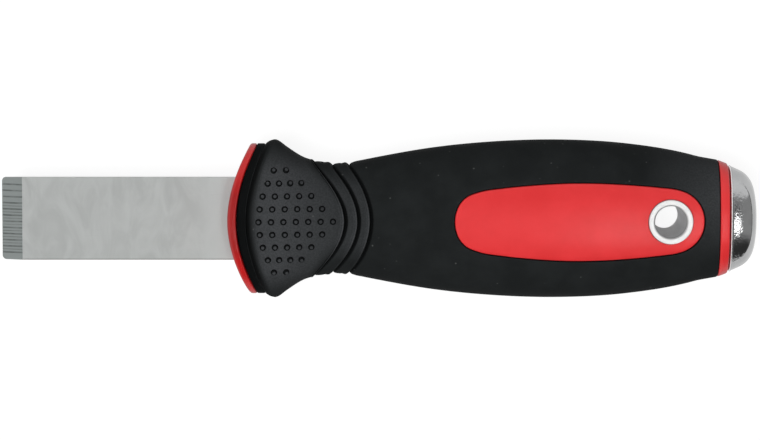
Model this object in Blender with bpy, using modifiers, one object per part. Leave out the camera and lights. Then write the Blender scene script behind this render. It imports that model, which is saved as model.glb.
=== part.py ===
# Blade scraper: a steel blade whose tang runs the whole handle, two hard core shells
# around the tang, a soft grip over the shells, a hang eyelet and a steel strike cap.
# Lengths are in metres. X runs from the cutting edge to the cap, Y across, Z up.
# Pieces are drawn from the middle of the guard's front, on the blade's middle plane,
# and hang on one empty that lifts the tool until its lower panel touches the ground.

from math import asin, cos, pi, sin

import bmesh
import bpy
import numpy as np
from mathutils import Matrix, Vector

# Clearances
FIT_GAP = 0.0003            # between pieces that touch
OVERRUN = 0.0010            # how far a cutter runs past what it cuts
MERGE_DISTANCE = 0.00001    # points this close are one point

# Blade and tang
BLADE_LENGTH = 0.0546       # cutting edge to the guard's front
BLADE_WIDTH = 0.0200
BLADE_THICKNESS = 0.0024
GRIND_DEPTH = 0.0001        # what is ground off each face of the exposed blade
EDGE_THICKNESS = 0.0002
BEVEL_LENGTH = 0.0049
TIP_CORNER_RADIUS = 0.0013
SHOULDER_DEPTH = 0.0120     # how far the full width runs behind the guard's front
TANG_WIDTH = 0.0120
TAIL_WIDTH = 0.0066         # the tang's end inside the cap's boss
EYE_LAND = 0.0026           # steel left round the eyelet's hole

# Handle
HANDLE_LENGTH = 0.1216      # guard's front to the back of the rear collar
HANDLE_WIDTH = 0.0386       # across the guard's crest
HANDLE_THICKNESS = 0.0260   # through the belly
SECTION_POWER = 2.35        # 2 is an ellipse, higher is squarer
BOW_POWER = 1.9             # how the guard's and the grooves' lines bend across

# Guard
FLANGE_THICKNESS = 0.0023
FLANGE_STEP = 0.0011        # how far the flange and lip stand in from the guard's crest
FLANGE_BOW = 0.0055         # how far the flange's ends sweep back from its middle
LIP_BOW = 0.0043
LIP_THICKNESS = 0.0021
LIP_DROP = 0.0008           # how far the lip lies under the flange, above and below
LIP_GROOVE_WIDTH = 0.0004
LIP_GROOVE_DEPTH = 0.0006
NOSE_RADIUS = 0.0016        # round front edge of the guard behind the lip
EDGE_ROUND = 0.0003         # softened edges of the lip and the collar

# Soft grip
GRIP_WALL = 0.0024
GROOVE_WIDTH = 0.0016
GROOVE_DEPTH = 0.0007

# Panel that shows in the grip's windows
PANEL_LENGTH = 0.0597
PANEL_WIDTH = 0.0187
PANEL_MARGIN = 0.0077       # from the eyelet's axis to the panel's back end
PANEL_SINK = 0.0002         # below the grip's surface

# Core pegs through the tang
PEG_RADIUS = 0.0020
PEG_GRIP = 0.0030           # how far a peg enters the upper shell

# Rear collar, strike cap and its pin
COLLAR_LENGTH = 0.0025
CAP_LENGTH = 0.0060
BOSS_RADIUS = 0.0050
PIN_RADIUS = 0.00125
PIN_WALL = 0.0004
PIN_SLOT = 0.0006

# Hang eyelet
EYELET_SETBACK = 0.0148     # its axis in front of the collar's back
MOUTH_RADIUS = 0.0040
THROAT_RADIUS = 0.0033
EYELET_WALL = 0.0005
FLARE_WIDTH = 0.00085       # how far the flare reaches past the tube
FLARE_THICKNESS = 0.0011
EYELET_PROUD = 0.0003
RING_WIDTH = 0.0012
RING_THICKNESS = 0.0010
CURL_WIDTH = 0.0005
CURL_THICKNESS = 0.0004

# Half width of the handle: share of its length, share of half its width
PLAN_SHARES = (
    (0.000, 1.000), (0.088, 1.000), (0.101, 0.985), (0.120, 0.900), (0.154, 0.768),
    (0.180, 0.722), (0.201, 0.702), (0.234, 0.696), (0.265, 0.728), (0.297, 0.768),
    (0.409, 0.890), (0.536, 0.968), (0.656, 0.990), (0.792, 0.944), (0.919, 0.810),
    (0.937, 0.780), (0.960, 0.753), (0.980, 0.728), (1.000, 0.678),
)

# Half thickness of the handle: share of its length, share of half its thickness
SIDE_SHARES = (
    (0.000, 0.800), (0.036, 0.805), (0.062, 0.860), (0.085, 0.864), (0.148, 0.800), (0.263, 0.723), (0.409, 0.850),
    (0.530, 0.955), (0.656, 1.000), (0.780, 0.955), (0.878, 0.854), (1.000, 0.735),
)

# Lines across the guard and neck: share of the length at the middle, bow as a share of it
BOW_SHARES = (
    (0.055, 0.038), (0.233, -0.065), (0.261, -0.0535), (0.285, -0.045), (0.385, 0.000),
    (1.000, 0.000),
)
GROOVE_SHARES = (0.233, 0.261, 0.285)
STATION_SHARES = (
    0.070, 0.100, 0.130, 0.160, 0.185, 0.210, 0.305, 0.335, 0.370, 0.410, 0.460, 0.510,
    0.560, 0.610, 0.660, 0.710, 0.760, 0.810, 0.860, 0.900, 0.935, 0.960,
)
PEG_SHARES = (0.190, 0.420, 0.660)

# Half of the panel's outline: share of its length, share of half its width
PANEL_SHARES = (
    (0.000, 0.000), (0.004, 0.230), (0.020, 0.490), (0.052, 0.680), (0.105, 0.800),
    (0.200, 0.890), (0.310, 0.958), (0.450, 0.999), (0.580, 0.985), (0.705, 0.930),
    (0.830, 0.858), (0.890, 0.812), (0.935, 0.715), (0.972, 0.520), (0.994, 0.270),
    (1.000, 0.000),
)

# The strike cap: share of its length, shares of the collar's width and thickness there
CAP_SHARES = (
    (0.000, 0.970, 0.985), (0.040, 0.985, 1.000), (0.170, 0.955, 0.990), (0.340, 0.917, 0.975),
    (0.490, 0.880, 0.955), (0.630, 0.832, 0.925), (0.750, 0.768, 0.880), (0.850, 0.685, 0.815),
    (0.920, 0.585, 0.730), (0.965, 0.470, 0.620), (0.990, 0.380, 0.530), (1.000, 0.330, 0.480),
)
GROOVE_PROFILE_SHARES = ((-0.50, 0.00), (-0.28, 0.70), (0.00, 1.00), (0.28, 0.70), (0.50, 0.00))
FLANGE_ROUND_SHARE = 0.48   # radius of the flange's rim, of its thickness
GUARD_CREST_SHARE = 0.075   # of the handle's length
BOSS_SLOT_SHARE = 0.80      # of the boss's length
PIN_PLACE_SHARE = 0.50      # of the tail's length inside the boss
PIN_LENGTH_SHARE = 0.90     # of the boss's diameter

# Counts
SECTION_POINTS = 40
ROUND_SIDES = 32
ARC_STEPS = 6

# Sizes worked out from the ones above
HALF_WIDTH = HANDLE_WIDTH / 2
HALF_THICKNESS = HANDLE_THICKNESS / 2
TANG_HALF = BLADE_THICKNESS / 2 + GRIND_DEPTH
ROOT_FRONT = -FIT_GAP
FLANGE_ROUND = FLANGE_THICKNESS * FLANGE_ROUND_SHARE
GRIP_FRONT = FLANGE_THICKNESS + FIT_GAP
GRIP_BACK = HANDLE_LENGTH - COLLAR_LENGTH - FIT_GAP
CORE_INSET = GRIP_WALL + FIT_GAP
CAP_FRONT = HANDLE_LENGTH + FIT_GAP
OVERALL_LENGTH = BLADE_LENGTH + CAP_FRONT + CAP_LENGTH
EYE_X = HANDLE_LENGTH - EYELET_SETBACK
TUBE_RADIUS = MOUTH_RADIUS + EYELET_WALL
EYE_BORE = TUBE_RADIUS + FIT_GAP
PANEL_START = EYE_X + PANEL_MARGIN - PANEL_LENGTH
LAND_RADIUS = EYE_BORE + EYE_LAND
BOSS_FRONT = EYE_X + LAND_RADIUS + FIT_GAP
BOSS_LENGTH = CAP_FRONT - BOSS_FRONT
TAIL_REACH = BOSS_LENGTH * BOSS_SLOT_SHARE
TAIL_BACK = BOSS_FRONT + TAIL_REACH
PIN_X = BOSS_FRONT + TAIL_REACH * PIN_PLACE_SHARE
PIN_LENGTH = 2 * BOSS_RADIUS * PIN_LENGTH_SHARE
PIN_HOLE = PIN_RADIUS + FIT_GAP
PEG_HOLE = PEG_RADIUS + FIT_GAP
PEG_TOP = TANG_HALF + FIT_GAP + PEG_GRIP


def smooth_curve(shares, length, size):
    """Value at a place along the handle, on a smooth curve through a table of shares."""
    places = np.array([share[0] for share in shares]) * length
    values = np.array([share[1] for share in shares]) * size
    slopes = np.gradient(values, places)

    def value(x):
        x = min(max(x, places[0]), places[-1])
        i = min(int(np.searchsorted(places, x, side="right")) - 1, len(places) - 2)
        span = places[i + 1] - places[i]
        t = (x - places[i]) / span
        rise = values[i] * (2 * t ** 3 - 3 * t ** 2 + 1) + values[i + 1] * (3 * t ** 2 - 2 * t ** 3)
        lean = slopes[i] * (t ** 3 - 2 * t ** 2 + t) + slopes[i + 1] * (t ** 3 - t ** 2)
        return rise + lean * span

    return value


half_width = smooth_curve(PLAN_SHARES, HANDLE_LENGTH, HALF_WIDTH)
half_thickness = smooth_curve(SIDE_SHARES, HANDLE_LENGTH, HALF_THICKNESS)
FLANGE_HALF_WIDTH = HALF_WIDTH - FLANGE_STEP
FLANGE_HALF_HEIGHT = half_thickness(GUARD_CREST_SHARE * HANDLE_LENGTH) - FLANGE_STEP


def bow_at(x):
    """How far a line across the handle has swept back at its ends, for a line crossing at x."""
    places = [share[0] * HANDLE_LENGTH for share in BOW_SHARES]
    bows = [share[1] * HANDLE_LENGTH for share in BOW_SHARES]
    return float(np.interp(x, [GRIP_FRONT] + places, [LIP_BOW] + bows))


def ring_round(x, bow, size_at):
    """One ring round the handle: a superellipse whose ends are swept back by the bow."""
    ring = []
    for k in range(SECTION_POINTS):
        angle = 2 * pi * k / SECTION_POINTS
        across = abs(cos(angle)) ** (2 / SECTION_POWER)
        up = abs(sin(angle)) ** (2 / SECTION_POWER)
        place = x + bow * across ** BOW_POWER
        wide, high = size_at(place)
        y = wide * across * np.sign(round(cos(angle), 6))
        z = high * up * np.sign(round(sin(angle), 6))
        ring.append((place, y, z))
    return ring


def section(x, inset, bow):
    """A ring that lies a set depth under the handle's own surface."""
    return ring_round(x, bow, lambda at: (half_width(at) - inset, half_thickness(at) - inset))


def plain_section(x, wide, high, bow):
    """A ring of a fixed size, as the flange, the lip and the strike cap have."""
    return ring_round(x, bow, lambda at: (wide, high))


def make_mesh(name, rings, sleeve=False):
    """A skin over rings: a sleeve joins its last ring to its first, a body closes both ends."""
    mesh = bpy.data.meshes.new(name)
    bm = bmesh.new()
    rows = [[bm.verts.new(point) for point in ring] for ring in rings]
    count = len(rings[0])
    pairs = list(zip(rows, rows[1:]))
    if sleeve:
        pairs.append((rows[-1], rows[0]))
    for one, other in pairs:
        for k in range(count):
            bm.faces.new((one[k], one[(k + 1) % count], other[(k + 1) % count], other[k]))
    if not sleeve:
        for row in (rows[0], rows[-1]):
            for k in range(count // 2):
                rung = (row[k], row[k + 1], row[(count - k - 1) % count], row[(count - k) % count])
                bm.faces.new(tuple(dict.fromkeys(rung)))
    bmesh.ops.recalc_face_normals(bm, faces=bm.faces)
    bm.to_mesh(mesh)
    bm.free()
    return mesh


def make_material(name, colour, roughness, metallic):
    material = bpy.data.materials.new(name)
    material.use_nodes = True
    shader = material.node_tree.nodes["Principled BSDF"]
    shader.inputs["Base Color"].default_value = (*colour, 1.0)
    shader.inputs["Roughness"].default_value = roughness
    shader.inputs["Metallic"].default_value = metallic
    material.diffuse_color = (*colour, 1.0)
    return material


def add_piece(name, mesh, material):
    """A sub-part of the tool, in its own collection and on the common empty."""
    piece = bpy.data.objects.new(name, mesh)
    mesh.materials.clear()
    mesh.materials.append(material)
    parts.objects.link(piece)
    piece.parent = tool_middle
    return piece


def add_cutter(name, mesh):
    """A shape that only cuts or joins others."""
    cutter = bpy.data.objects.new(name, mesh)
    cutters.objects.link(cutter)
    cutter.parent = tool_middle
    cutter.hide_render = True
    cutter.display_type = "WIRE"
    return cutter


def combine(piece, other, operation):
    modifier = piece.modifiers.new(other.name, "BOOLEAN")
    modifier.object = other
    modifier.operation = operation
    modifier.solver = "EXACT"


def rod_mesh(name, radius, start, end, axis):
    """A round rod along X or Z, between two points."""
    mesh = bpy.data.meshes.new(name)
    bm = bmesh.new()
    turn = Matrix.Rotation(pi / 2, 4, "Y") if axis == "X" else Matrix.Identity(4)
    middle = (Vector(start) + Vector(end)) / 2
    bmesh.ops.create_cone(
        bm, cap_ends=True, segments=ROUND_SIDES, radius1=radius, radius2=radius,
        depth=(Vector(end) - Vector(start)).length, matrix=Matrix.Translation(middle) @ turn)
    bm.to_mesh(mesh)
    bm.free()
    return mesh


def box_mesh(name, low, high):
    mesh = bpy.data.meshes.new(name)
    bm = bmesh.new()
    size = Vector(high) - Vector(low)
    place = Matrix.Translation((Vector(high) + Vector(low)) / 2)
    bmesh.ops.create_cube(bm, size=1, matrix=place @ Matrix.Diagonal((*size, 1)))
    bm.to_mesh(mesh)
    bm.free()
    return mesh


def plate_mesh(name, outlines, half):
    """A flat outline with its holes, drawn as a filled curve and extruded both ways."""
    curve = bpy.data.curves.new(name, "CURVE")
    curve.dimensions = "2D"
    curve.fill_mode = "BOTH"
    curve.extrude = half
    for outline in outlines:
        spline = curve.splines.new("POLY")
        spline.points.add(len(outline) - 1)
        for point, (x, y) in zip(spline.points, outline):
            point.co = (x, y, 0, 1)
        spline.use_cyclic_u = True
    drawn = bpy.data.objects.new(name, curve)
    cutters.objects.link(drawn)
    drawn.parent = tool_middle
    bpy.context.view_layer.update()
    seen = drawn.evaluated_get(bpy.context.evaluated_depsgraph_get())
    mesh = bpy.data.meshes.new_from_object(seen)
    bpy.data.objects.remove(drawn)
    bm = bmesh.new()
    bm.from_mesh(mesh)
    bmesh.ops.remove_doubles(bm, verts=bm.verts, dist=MERGE_DISTANCE)
    bmesh.ops.recalc_face_normals(bm, faces=bm.faces)
    bm.to_mesh(mesh)
    bm.free()
    return mesh


def turned_piece(name, profile, place, material):
    """A profile of radius and height, turned round an upright axis at a place."""
    mesh = bpy.data.meshes.new(name)
    points = [(radius, 0, height) for radius, height in profile]
    edges = [(k, (k + 1) % len(points)) for k in range(len(points))]
    mesh.from_pydata(points, edges, [])
    piece = add_piece(name, mesh, material)
    piece.location = place
    screw = piece.modifiers.new("turn", "SCREW")
    screw.steps = ROUND_SIDES
    screw.render_steps = ROUND_SIDES
    screw.merge_threshold = MERGE_DISTANCE
    screw.use_merge_vertices = True
    return piece


def circle(x, y, radius):
    turns = [2 * pi * k / ROUND_SIDES for k in range(ROUND_SIDES)]
    return [(x + radius * cos(turn), y + radius * sin(turn)) for turn in turns]


def mirrored(half):
    """A whole outline from its upper half, which runs from front to back."""
    return half + [(x, -y) for x, y in reversed(half) if y > 0]


def tang_outline(grow):
    """The root, the tang, the land round the eyelet and the tail, grown by a clearance."""
    root = BLADE_WIDTH / 2 + grow
    tang = TANG_WIDTH / 2 + grow
    tail = TAIL_WIDTH / 2 + grow
    land = LAND_RADIUS + grow
    shoulder = SHOULDER_DEPTH + grow
    first = pi - asin(tang / land)
    last = asin(tail / land)
    half = [(ROOT_FRONT - grow, root), (shoulder, root), (shoulder, tang)]
    for k in range(ARC_STEPS * 2 + 1):
        turn = first + (last - first) * k / (ARC_STEPS * 2)
        half.append((EYE_X + land * cos(turn), land * sin(turn)))
    half.append((TAIL_BACK - FIT_GAP + grow, tail))
    return mirrored(half)


def panel_outline(grow):
    """The long rounded panel, seen from above, grown by a clearance."""
    points = [(PANEL_START + x * PANEL_LENGTH, y * PANEL_WIDTH / 2) for x, y in PANEL_SHARES]
    whole = mirrored(points)
    grown = []
    for k, (x, y) in enumerate(whole):
        before = Vector(whole[k - 1])
        after = Vector(whole[(k + 1) % len(whole)])
        along = (after - before).normalized()
        grown.append((x - along.y * grow, y + along.x * grow))
    return grown


def make_blade():
    """Exposed blade, root and tang in one steel strip, with one bevel on the upper face."""
    holes = [circle(EYE_X, 0, EYE_BORE), circle(PIN_X, 0, PIN_HOLE)]
    holes += [circle(share * HANDLE_LENGTH, 0, PEG_HOLE) for share in PEG_SHARES]
    blade = add_piece("blade", plate_mesh("blade", [tang_outline(0)] + holes, TANG_HALF), steel)

    edge = -BLADE_LENGTH
    half = BLADE_WIDTH / 2
    corner = TIP_CORNER_RADIUS
    upper = []
    for k in range(ARC_STEPS + 1):
        turn = pi - k * pi / 2 / ARC_STEPS
        upper.append((edge + corner + corner * cos(turn), half - corner + corner * sin(turn)))
    upper.append((OVERRUN, half))
    ground = plate_mesh("ground_blade", [mirrored(upper)], BLADE_THICKNESS / 2)
    combine(blade, add_cutter("ground_blade", ground), "UNION")

    rise = BLADE_THICKNESS - EDGE_THICKNESS
    slope = rise / BEVEL_LENGTH
    low = EDGE_THICKNESS - BLADE_THICKNESS / 2
    wedge = box_mesh("bevel_cutter", (edge - OVERRUN, -half - OVERRUN, low), (
        edge + BEVEL_LENGTH + OVERRUN, half + OVERRUN, low + rise + OVERRUN))
    for vertex in wedge.vertices:
        if vertex.co.z < low + OVERRUN:
            vertex.co.z = low + (vertex.co.x - edge) * slope
    combine(blade, add_cutter("bevel_cutter", wedge), "DIFFERENCE")
    return blade


def grip_stations():
    """Rings over the grip's outside: lip, groove, round nose, neck grooves and palm swell."""
    rings = []

    def lip_ring(x, inset):
        wide = FLANGE_HALF_WIDTH - inset
        high = FLANGE_HALF_HEIGHT - LIP_DROP - inset
        rings.append(plain_section(x, wide, high, LIP_BOW))

    lip_back = GRIP_FRONT + LIP_THICKNESS
    lip_ring(GRIP_FRONT, EDGE_ROUND)
    lip_ring(GRIP_FRONT + EDGE_ROUND, 0)
    lip_ring(lip_back - EDGE_ROUND, 0)
    lip_ring(lip_back, EDGE_ROUND)
    lip_ring(lip_back, LIP_GROOVE_DEPTH)
    lip_ring(lip_back + LIP_GROOVE_WIDTH, LIP_GROOVE_DEPTH)
    nose = lip_back + LIP_GROOVE_WIDTH
    for k in range(ARC_STEPS // 2 + 1):
        turn = k * pi / 2 / (ARC_STEPS // 2)
        x = nose + NOSE_RADIUS * (1 - cos(turn))
        rings.append(section(x, FLANGE_STEP * (1 - sin(turn)), bow_at(x)))

    stations = [(share * HANDLE_LENGTH, 0) for share in STATION_SHARES]
    for share in GROOVE_SHARES:
        for along, deep in GROOVE_PROFILE_SHARES:
            stations.append((share * HANDLE_LENGTH + along * GROOVE_WIDTH, deep * GROOVE_DEPTH))
    stations.append((GRIP_BACK - EDGE_ROUND, 0))
    stations.append((GRIP_BACK, EDGE_ROUND))
    last = nose + NOSE_RADIUS
    for x, inset in sorted(stations):
        if last < x <= GRIP_BACK:
            rings.append(section(x, inset, bow_at(x)))
    return rings


def inner_stations(inset, front, back):
    """Rings under the grip, at the same places for its bore and for the core inside it."""
    places = [share * HANDLE_LENGTH for share in STATION_SHARES[1::2]]
    places = [front] + [x for x in places if front < x < back] + [back]
    return [section(x, inset, bow_at(x)) for x in places]


def make_grip():
    rings = grip_stations()
    rings += list(reversed(inner_stations(GRIP_WALL, GRIP_FRONT, GRIP_BACK)))
    grip = add_piece("grip_overmould", make_mesh("grip_overmould", rings, sleeve=True), rubber)
    window = plate_mesh("panel_window", [panel_outline(FIT_GAP)], HALF_THICKNESS + OVERRUN)
    combine(grip, add_cutter("panel_window", window), "DIFFERENCE")
    return grip


def core_rings():
    """Flange, the body under the grip, and the rear collar."""
    rings = []
    turns = [k * pi / 2 / (ARC_STEPS // 2) for k in range(ARC_STEPS // 2 + 1)]
    rim = [(FLANGE_ROUND * (1 - cos(turn)), FLANGE_ROUND * (1 - sin(turn))) for turn in turns]
    rim += [(FLANGE_THICKNESS - x, inset) for x, inset in reversed(rim)]
    for x, inset in rim:
        bow = FLANGE_BOW + (LIP_BOW - FLANGE_BOW) * x / FLANGE_THICKNESS
        rings.append(plain_section(x, FLANGE_HALF_WIDTH - inset, FLANGE_HALF_HEIGHT - inset, bow))
    rings += inner_stations(CORE_INSET, FLANGE_THICKNESS, HANDLE_LENGTH - COLLAR_LENGTH)
    collar = HANDLE_LENGTH - COLLAR_LENGTH
    rings += [
        section(collar, EDGE_ROUND, 0),
        section(collar + EDGE_ROUND, 0, 0),
        section(HANDLE_LENGTH - EDGE_ROUND, 0, 0),
        section(HANDLE_LENGTH, EDGE_ROUND, 0),
    ]
    return rings


def core_cutters():
    """The room inside the core for the tang, the boss and the eyelet."""
    slot = plate_mesh("tang_room", [tang_outline(FIT_GAP)], TANG_HALF + FIT_GAP)
    boss = rod_mesh("boss_room", BOSS_RADIUS + FIT_GAP, (BOSS_FRONT - FIT_GAP, 0, 0), (
        HANDLE_LENGTH + OVERRUN, 0, 0), "X")
    through = HALF_THICKNESS + OVERRUN
    bore = rod_mesh("eyelet_bore", EYE_BORE, (EYE_X, 0, -through), (EYE_X, 0, through), "Z")
    surface = half_thickness(EYE_X)
    flare = surface + EYELET_PROUD - FLARE_THICKNESS - FIT_GAP
    upper = rod_mesh("flare_seat", TUBE_RADIUS + FLARE_WIDTH + FIT_GAP, (EYE_X, 0, flare), (
        EYE_X, 0, through), "Z")
    ring = RING_THICKNESS + FIT_GAP - surface
    lower = rod_mesh("ring_seat", EYE_BORE + RING_WIDTH + FIT_GAP, (EYE_X, 0, -through), (
        EYE_X, 0, ring), "Z")
    shapes = (slot, boss, bore, upper, lower)
    return [add_cutter(shape.name, shape) for shape in shapes]


def make_core():
    """Two hard shells that meet on the blade's middle plane."""
    skin = [section(share * HANDLE_LENGTH, PANEL_SINK, bow_at(share * HANDLE_LENGTH))
            for share in STATION_SHARES if share * HANDLE_LENGTH < GRIP_BACK]
    panels = add_cutter("panel_islands", make_mesh("panel_islands", skin))
    outline = add_cutter("panel_outline", plate_mesh(
        "panel_outline", [panel_outline(0)], HALF_THICKNESS + OVERRUN))
    combine(panels, outline, "INTERSECT")
    rooms = core_cutters()

    reach = HANDLE_LENGTH + OVERRUN
    side = HALF_WIDTH + OVERRUN
    tall = HALF_THICKNESS + OVERRUN
    seam = FIT_GAP / 2
    halves = {
        "core_shell_upper": ((-OVERRUN, -side, seam), (reach, side, tall)),
        "core_shell_lower": ((-OVERRUN, -side, -tall), (reach, side, -seam)),
    }
    for name, (low, high) in halves.items():
        shell = add_piece(name, make_mesh(name, core_rings()), hard_plastic)
        combine(shell, panels, "UNION")
        combine(shell, add_cutter(name + "_half", box_mesh(name + "_half", low, high)), "INTERSECT")
        for room in rooms:
            combine(shell, room, "DIFFERENCE")
        for number, share in enumerate(PEG_SHARES):
            x = share * HANDLE_LENGTH
            if name == "core_shell_upper":
                socket = rod_mesh(f"socket_{number}", PEG_HOLE, (x, 0, 0), (
                    x, 0, PEG_TOP + FIT_GAP), "Z")
                combine(shell, add_cutter(f"socket_{number}", socket), "DIFFERENCE")
            else:
                peg = rod_mesh(f"peg_{number}", PEG_RADIUS, (x, 0, -TANG_HALF - PEG_GRIP), (
                    x, 0, PEG_TOP), "Z")
                combine(shell, add_cutter(f"peg_{number}", peg), "UNION")


def make_eyelet():
    """A tube with a flared mouth, crimped over a ring on the far side."""
    surface = half_thickness(EYE_X)
    top = surface + EYELET_PROUD
    under = top - FLARE_THICKNESS
    curl = -surface - FIT_GAP
    foot = curl - CURL_THICKNESS
    rim = TUBE_RADIUS + FLARE_WIDTH
    lip = TUBE_RADIUS + CURL_WIDTH
    soft = FLARE_THICKNESS / 3
    profile = [
        (MOUTH_RADIUS + soft, top), (rim - soft, top), (rim, top - soft), (rim, under + soft),
        (rim - soft, under), (TUBE_RADIUS, under), (TUBE_RADIUS, curl), (lip, curl),
        (lip, foot), (THROAT_RADIUS + CURL_THICKNESS, foot), (THROAT_RADIUS, foot + CURL_THICKNESS),
        (MOUTH_RADIUS, under), (MOUTH_RADIUS + soft / 2, top - soft),
    ]
    turned_piece("hang_eyelet", profile, (EYE_X, 0, 0), bright_metal)

    inner = EYE_BORE
    outer = EYE_BORE + RING_WIDTH
    high = RING_THICKNESS - surface
    bevel = RING_THICKNESS / 4
    ring = [(inner, high), (outer, high), (outer, bevel - surface), (outer - bevel, -surface), (
        inner, -surface)]
    turned_piece("eyelet_ring", ring, (EYE_X, 0, 0), bright_metal)


def make_cap():
    """Strike cap, its boss with the slot for the tail, and the pin through both."""
    wide = half_width(HANDLE_LENGTH)
    high = half_thickness(HANDLE_LENGTH)
    rings = [plain_section(CAP_FRONT + x * CAP_LENGTH, across * wide, up * high, 0)
             for x, across, up in CAP_SHARES]
    cap = add_piece("strike_cap", make_mesh("strike_cap", rings), bright_metal)
    boss = rod_mesh("boss", BOSS_RADIUS, (BOSS_FRONT, 0, 0), (CAP_FRONT + OVERRUN, 0, 0), "X")
    combine(cap, add_cutter("boss", boss), "UNION")
    slot = box_mesh("tail_slot", (
        BOSS_FRONT - OVERRUN, -TAIL_WIDTH / 2 - FIT_GAP, -TANG_HALF - FIT_GAP), (
        TAIL_BACK, TAIL_WIDTH / 2 + FIT_GAP, TANG_HALF + FIT_GAP))
    combine(cap, add_cutter("tail_slot", slot), "DIFFERENCE")
    hole = rod_mesh("pin_hole", PIN_HOLE, (PIN_X, 0, -BOSS_RADIUS - OVERRUN), (
        PIN_X, 0, BOSS_RADIUS + OVERRUN), "Z")
    combine(cap, add_cutter("pin_hole", hole), "DIFFERENCE")

    gap = asin(PIN_SLOT / 2 / PIN_RADIUS)
    turns = [gap + (2 * pi - 2 * gap) * k / ROUND_SIDES for k in range(ROUND_SIDES + 1)]
    bore = PIN_RADIUS - PIN_WALL
    section_line = [(PIN_X + PIN_RADIUS * cos(turn), PIN_RADIUS * sin(turn)) for turn in turns]
    section_line += [(PIN_X + bore * cos(turn), bore * sin(turn)) for turn in reversed(turns)]
    add_piece("cap_pin", plate_mesh("cap_pin", [section_line], PIN_LENGTH / 2), steel)


for leftover in list(bpy.data.objects):
    bpy.data.objects.remove(leftover)

parts = bpy.data.collections.new("blade_scraper")
cutters = bpy.data.collections.new("cutters")
for collection in (parts, cutters):
    bpy.context.scene.collection.children.link(collection)

tool_middle = bpy.data.objects.new("tool_middle", None)
tool_middle.location = (BLADE_LENGTH - OVERALL_LENGTH / 2, 0, HALF_THICKNESS - PANEL_SINK)
parts.objects.link(tool_middle)

steel = make_material("blade_steel", (0.44, 0.45, 0.45), 0.38, 1.0)
hard_plastic = make_material("red_plastic", (0.60, 0.035, 0.035), 0.35, 0.0)
rubber = make_material("black_rubber", (0.018, 0.020, 0.021), 0.60, 0.0)
bright_metal = make_material("bright_steel", (0.72, 0.73, 0.74), 0.12, 1.0)

make_blade()
make_grip()
make_core()
make_eyelet()
make_cap()

for piece in parts.objects:
    if piece.type == "MESH":
        piece.data.shade_smooth()
        piece.data.set_sharp_from_angle(angle=pi / 6)
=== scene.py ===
from math import atan2, cos, pi, radians, sin

import bmesh
import bpy
import numpy as np
from mathutils import Matrix, Vector


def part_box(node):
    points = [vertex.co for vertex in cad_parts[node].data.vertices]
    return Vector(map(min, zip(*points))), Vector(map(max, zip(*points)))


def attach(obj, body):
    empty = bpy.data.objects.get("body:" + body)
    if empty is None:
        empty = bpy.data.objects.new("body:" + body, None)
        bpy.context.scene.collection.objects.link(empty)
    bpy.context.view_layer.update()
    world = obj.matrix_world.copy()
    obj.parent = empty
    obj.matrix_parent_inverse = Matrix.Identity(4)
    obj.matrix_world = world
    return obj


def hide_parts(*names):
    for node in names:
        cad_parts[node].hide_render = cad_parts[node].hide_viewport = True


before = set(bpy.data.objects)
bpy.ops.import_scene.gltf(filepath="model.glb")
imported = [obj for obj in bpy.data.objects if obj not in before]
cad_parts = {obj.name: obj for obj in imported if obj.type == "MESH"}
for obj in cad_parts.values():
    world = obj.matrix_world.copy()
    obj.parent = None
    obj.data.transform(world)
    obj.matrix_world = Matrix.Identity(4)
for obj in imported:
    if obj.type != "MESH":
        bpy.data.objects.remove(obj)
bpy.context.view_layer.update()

mm = 0.001
far = 1.0                        # a place well beyond the tool

# Along the handle, places are counted from the middle of the guard's front
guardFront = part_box("core_shell_upper")[0].x
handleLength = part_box("core_shell_upper")[1].x - guardFront
midHeight = (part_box("blade")[0].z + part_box("blade")[1].z) / 2
print("frame: guard front at", round(guardFront / mm, 2), "handle", round(handleLength / mm, 2))

handle = {
    "width": 38.6 * mm,          # across the guard's crest
    "thickness": 26.0 * mm,      # through the belly
    "squareness": 2.35,          # 2 would be an ellipse
    "bowPower": 1.9,             # how lines across the handle bend
    "sides": 160,
    "mouldLine": 0.05 * mm,      # height of the fine seam along both sides
    "mouldLineTurns": (0.006, 0.014),
    "plan": (                    # share of the length, share of half the width
        (0, 1), (0.088, 1), (0.101, 0.985), (0.12, 0.9), (0.154, 0.768),
        (0.18, 0.722), (0.201, 0.702), (0.234, 0.696), (0.265, 0.728), (0.297, 0.768),
        (0.409, 0.89), (0.536, 0.968), (0.656, 0.99), (0.792, 0.944), (0.919, 0.81),
        (0.937, 0.78), (0.96, 0.753), (0.98, 0.728), (1, 0.678)),
    "profile": (                 # share of the length, share of half the thickness
        (0, 0.8), (0.036, 0.805), (0.062, 0.86), (0.085, 0.864), (0.148, 0.8),
        (0.263, 0.723), (0.409, 0.85), (0.53, 0.955), (0.656, 1), (0.78, 0.955),
        (0.878, 0.854), (1, 0.735)),
    "bows": (                    # lines across: share of the length, sweep of their ends
        (0.055, 0.038), (0.238, -0.0667), (0.264, -0.0545), (0.2887, -0.0467), (0.385, 0),
        (1, 0)),
}


def deselectAll():
    if bpy.context.object and bpy.context.object.mode == "EDIT":
        bpy.ops.object.mode_set(mode="OBJECT")
    bpy.ops.object.select_all(action="DESELECT")


def pick(piece):
    deselectAll()
    piece.select_set(True)
    bpy.context.view_layer.objects.active = piece


def openAll(piece):
    # edit mode with everything selected
    pick(piece)
    bpy.ops.object.mode_set(mode="EDIT")
    bpy.ops.mesh.select_all(action="SELECT")


def openParts(piece, kind, test):
    # edit mode with only the edges or faces selected that pass the test
    openAll(piece)
    bpy.ops.mesh.select_mode(type=kind)
    bpy.ops.mesh.select_all(action="DESELECT")
    shape = bmesh.from_edit_mesh(piece.data)
    for part in (shape.edges if kind == "EDGE" else shape.faces):
        if test(part):
            part.select_set(True)
    bmesh.update_edit_mesh(piece.data)


def closeEdit():
    bpy.ops.object.mode_set(mode="OBJECT")


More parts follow.
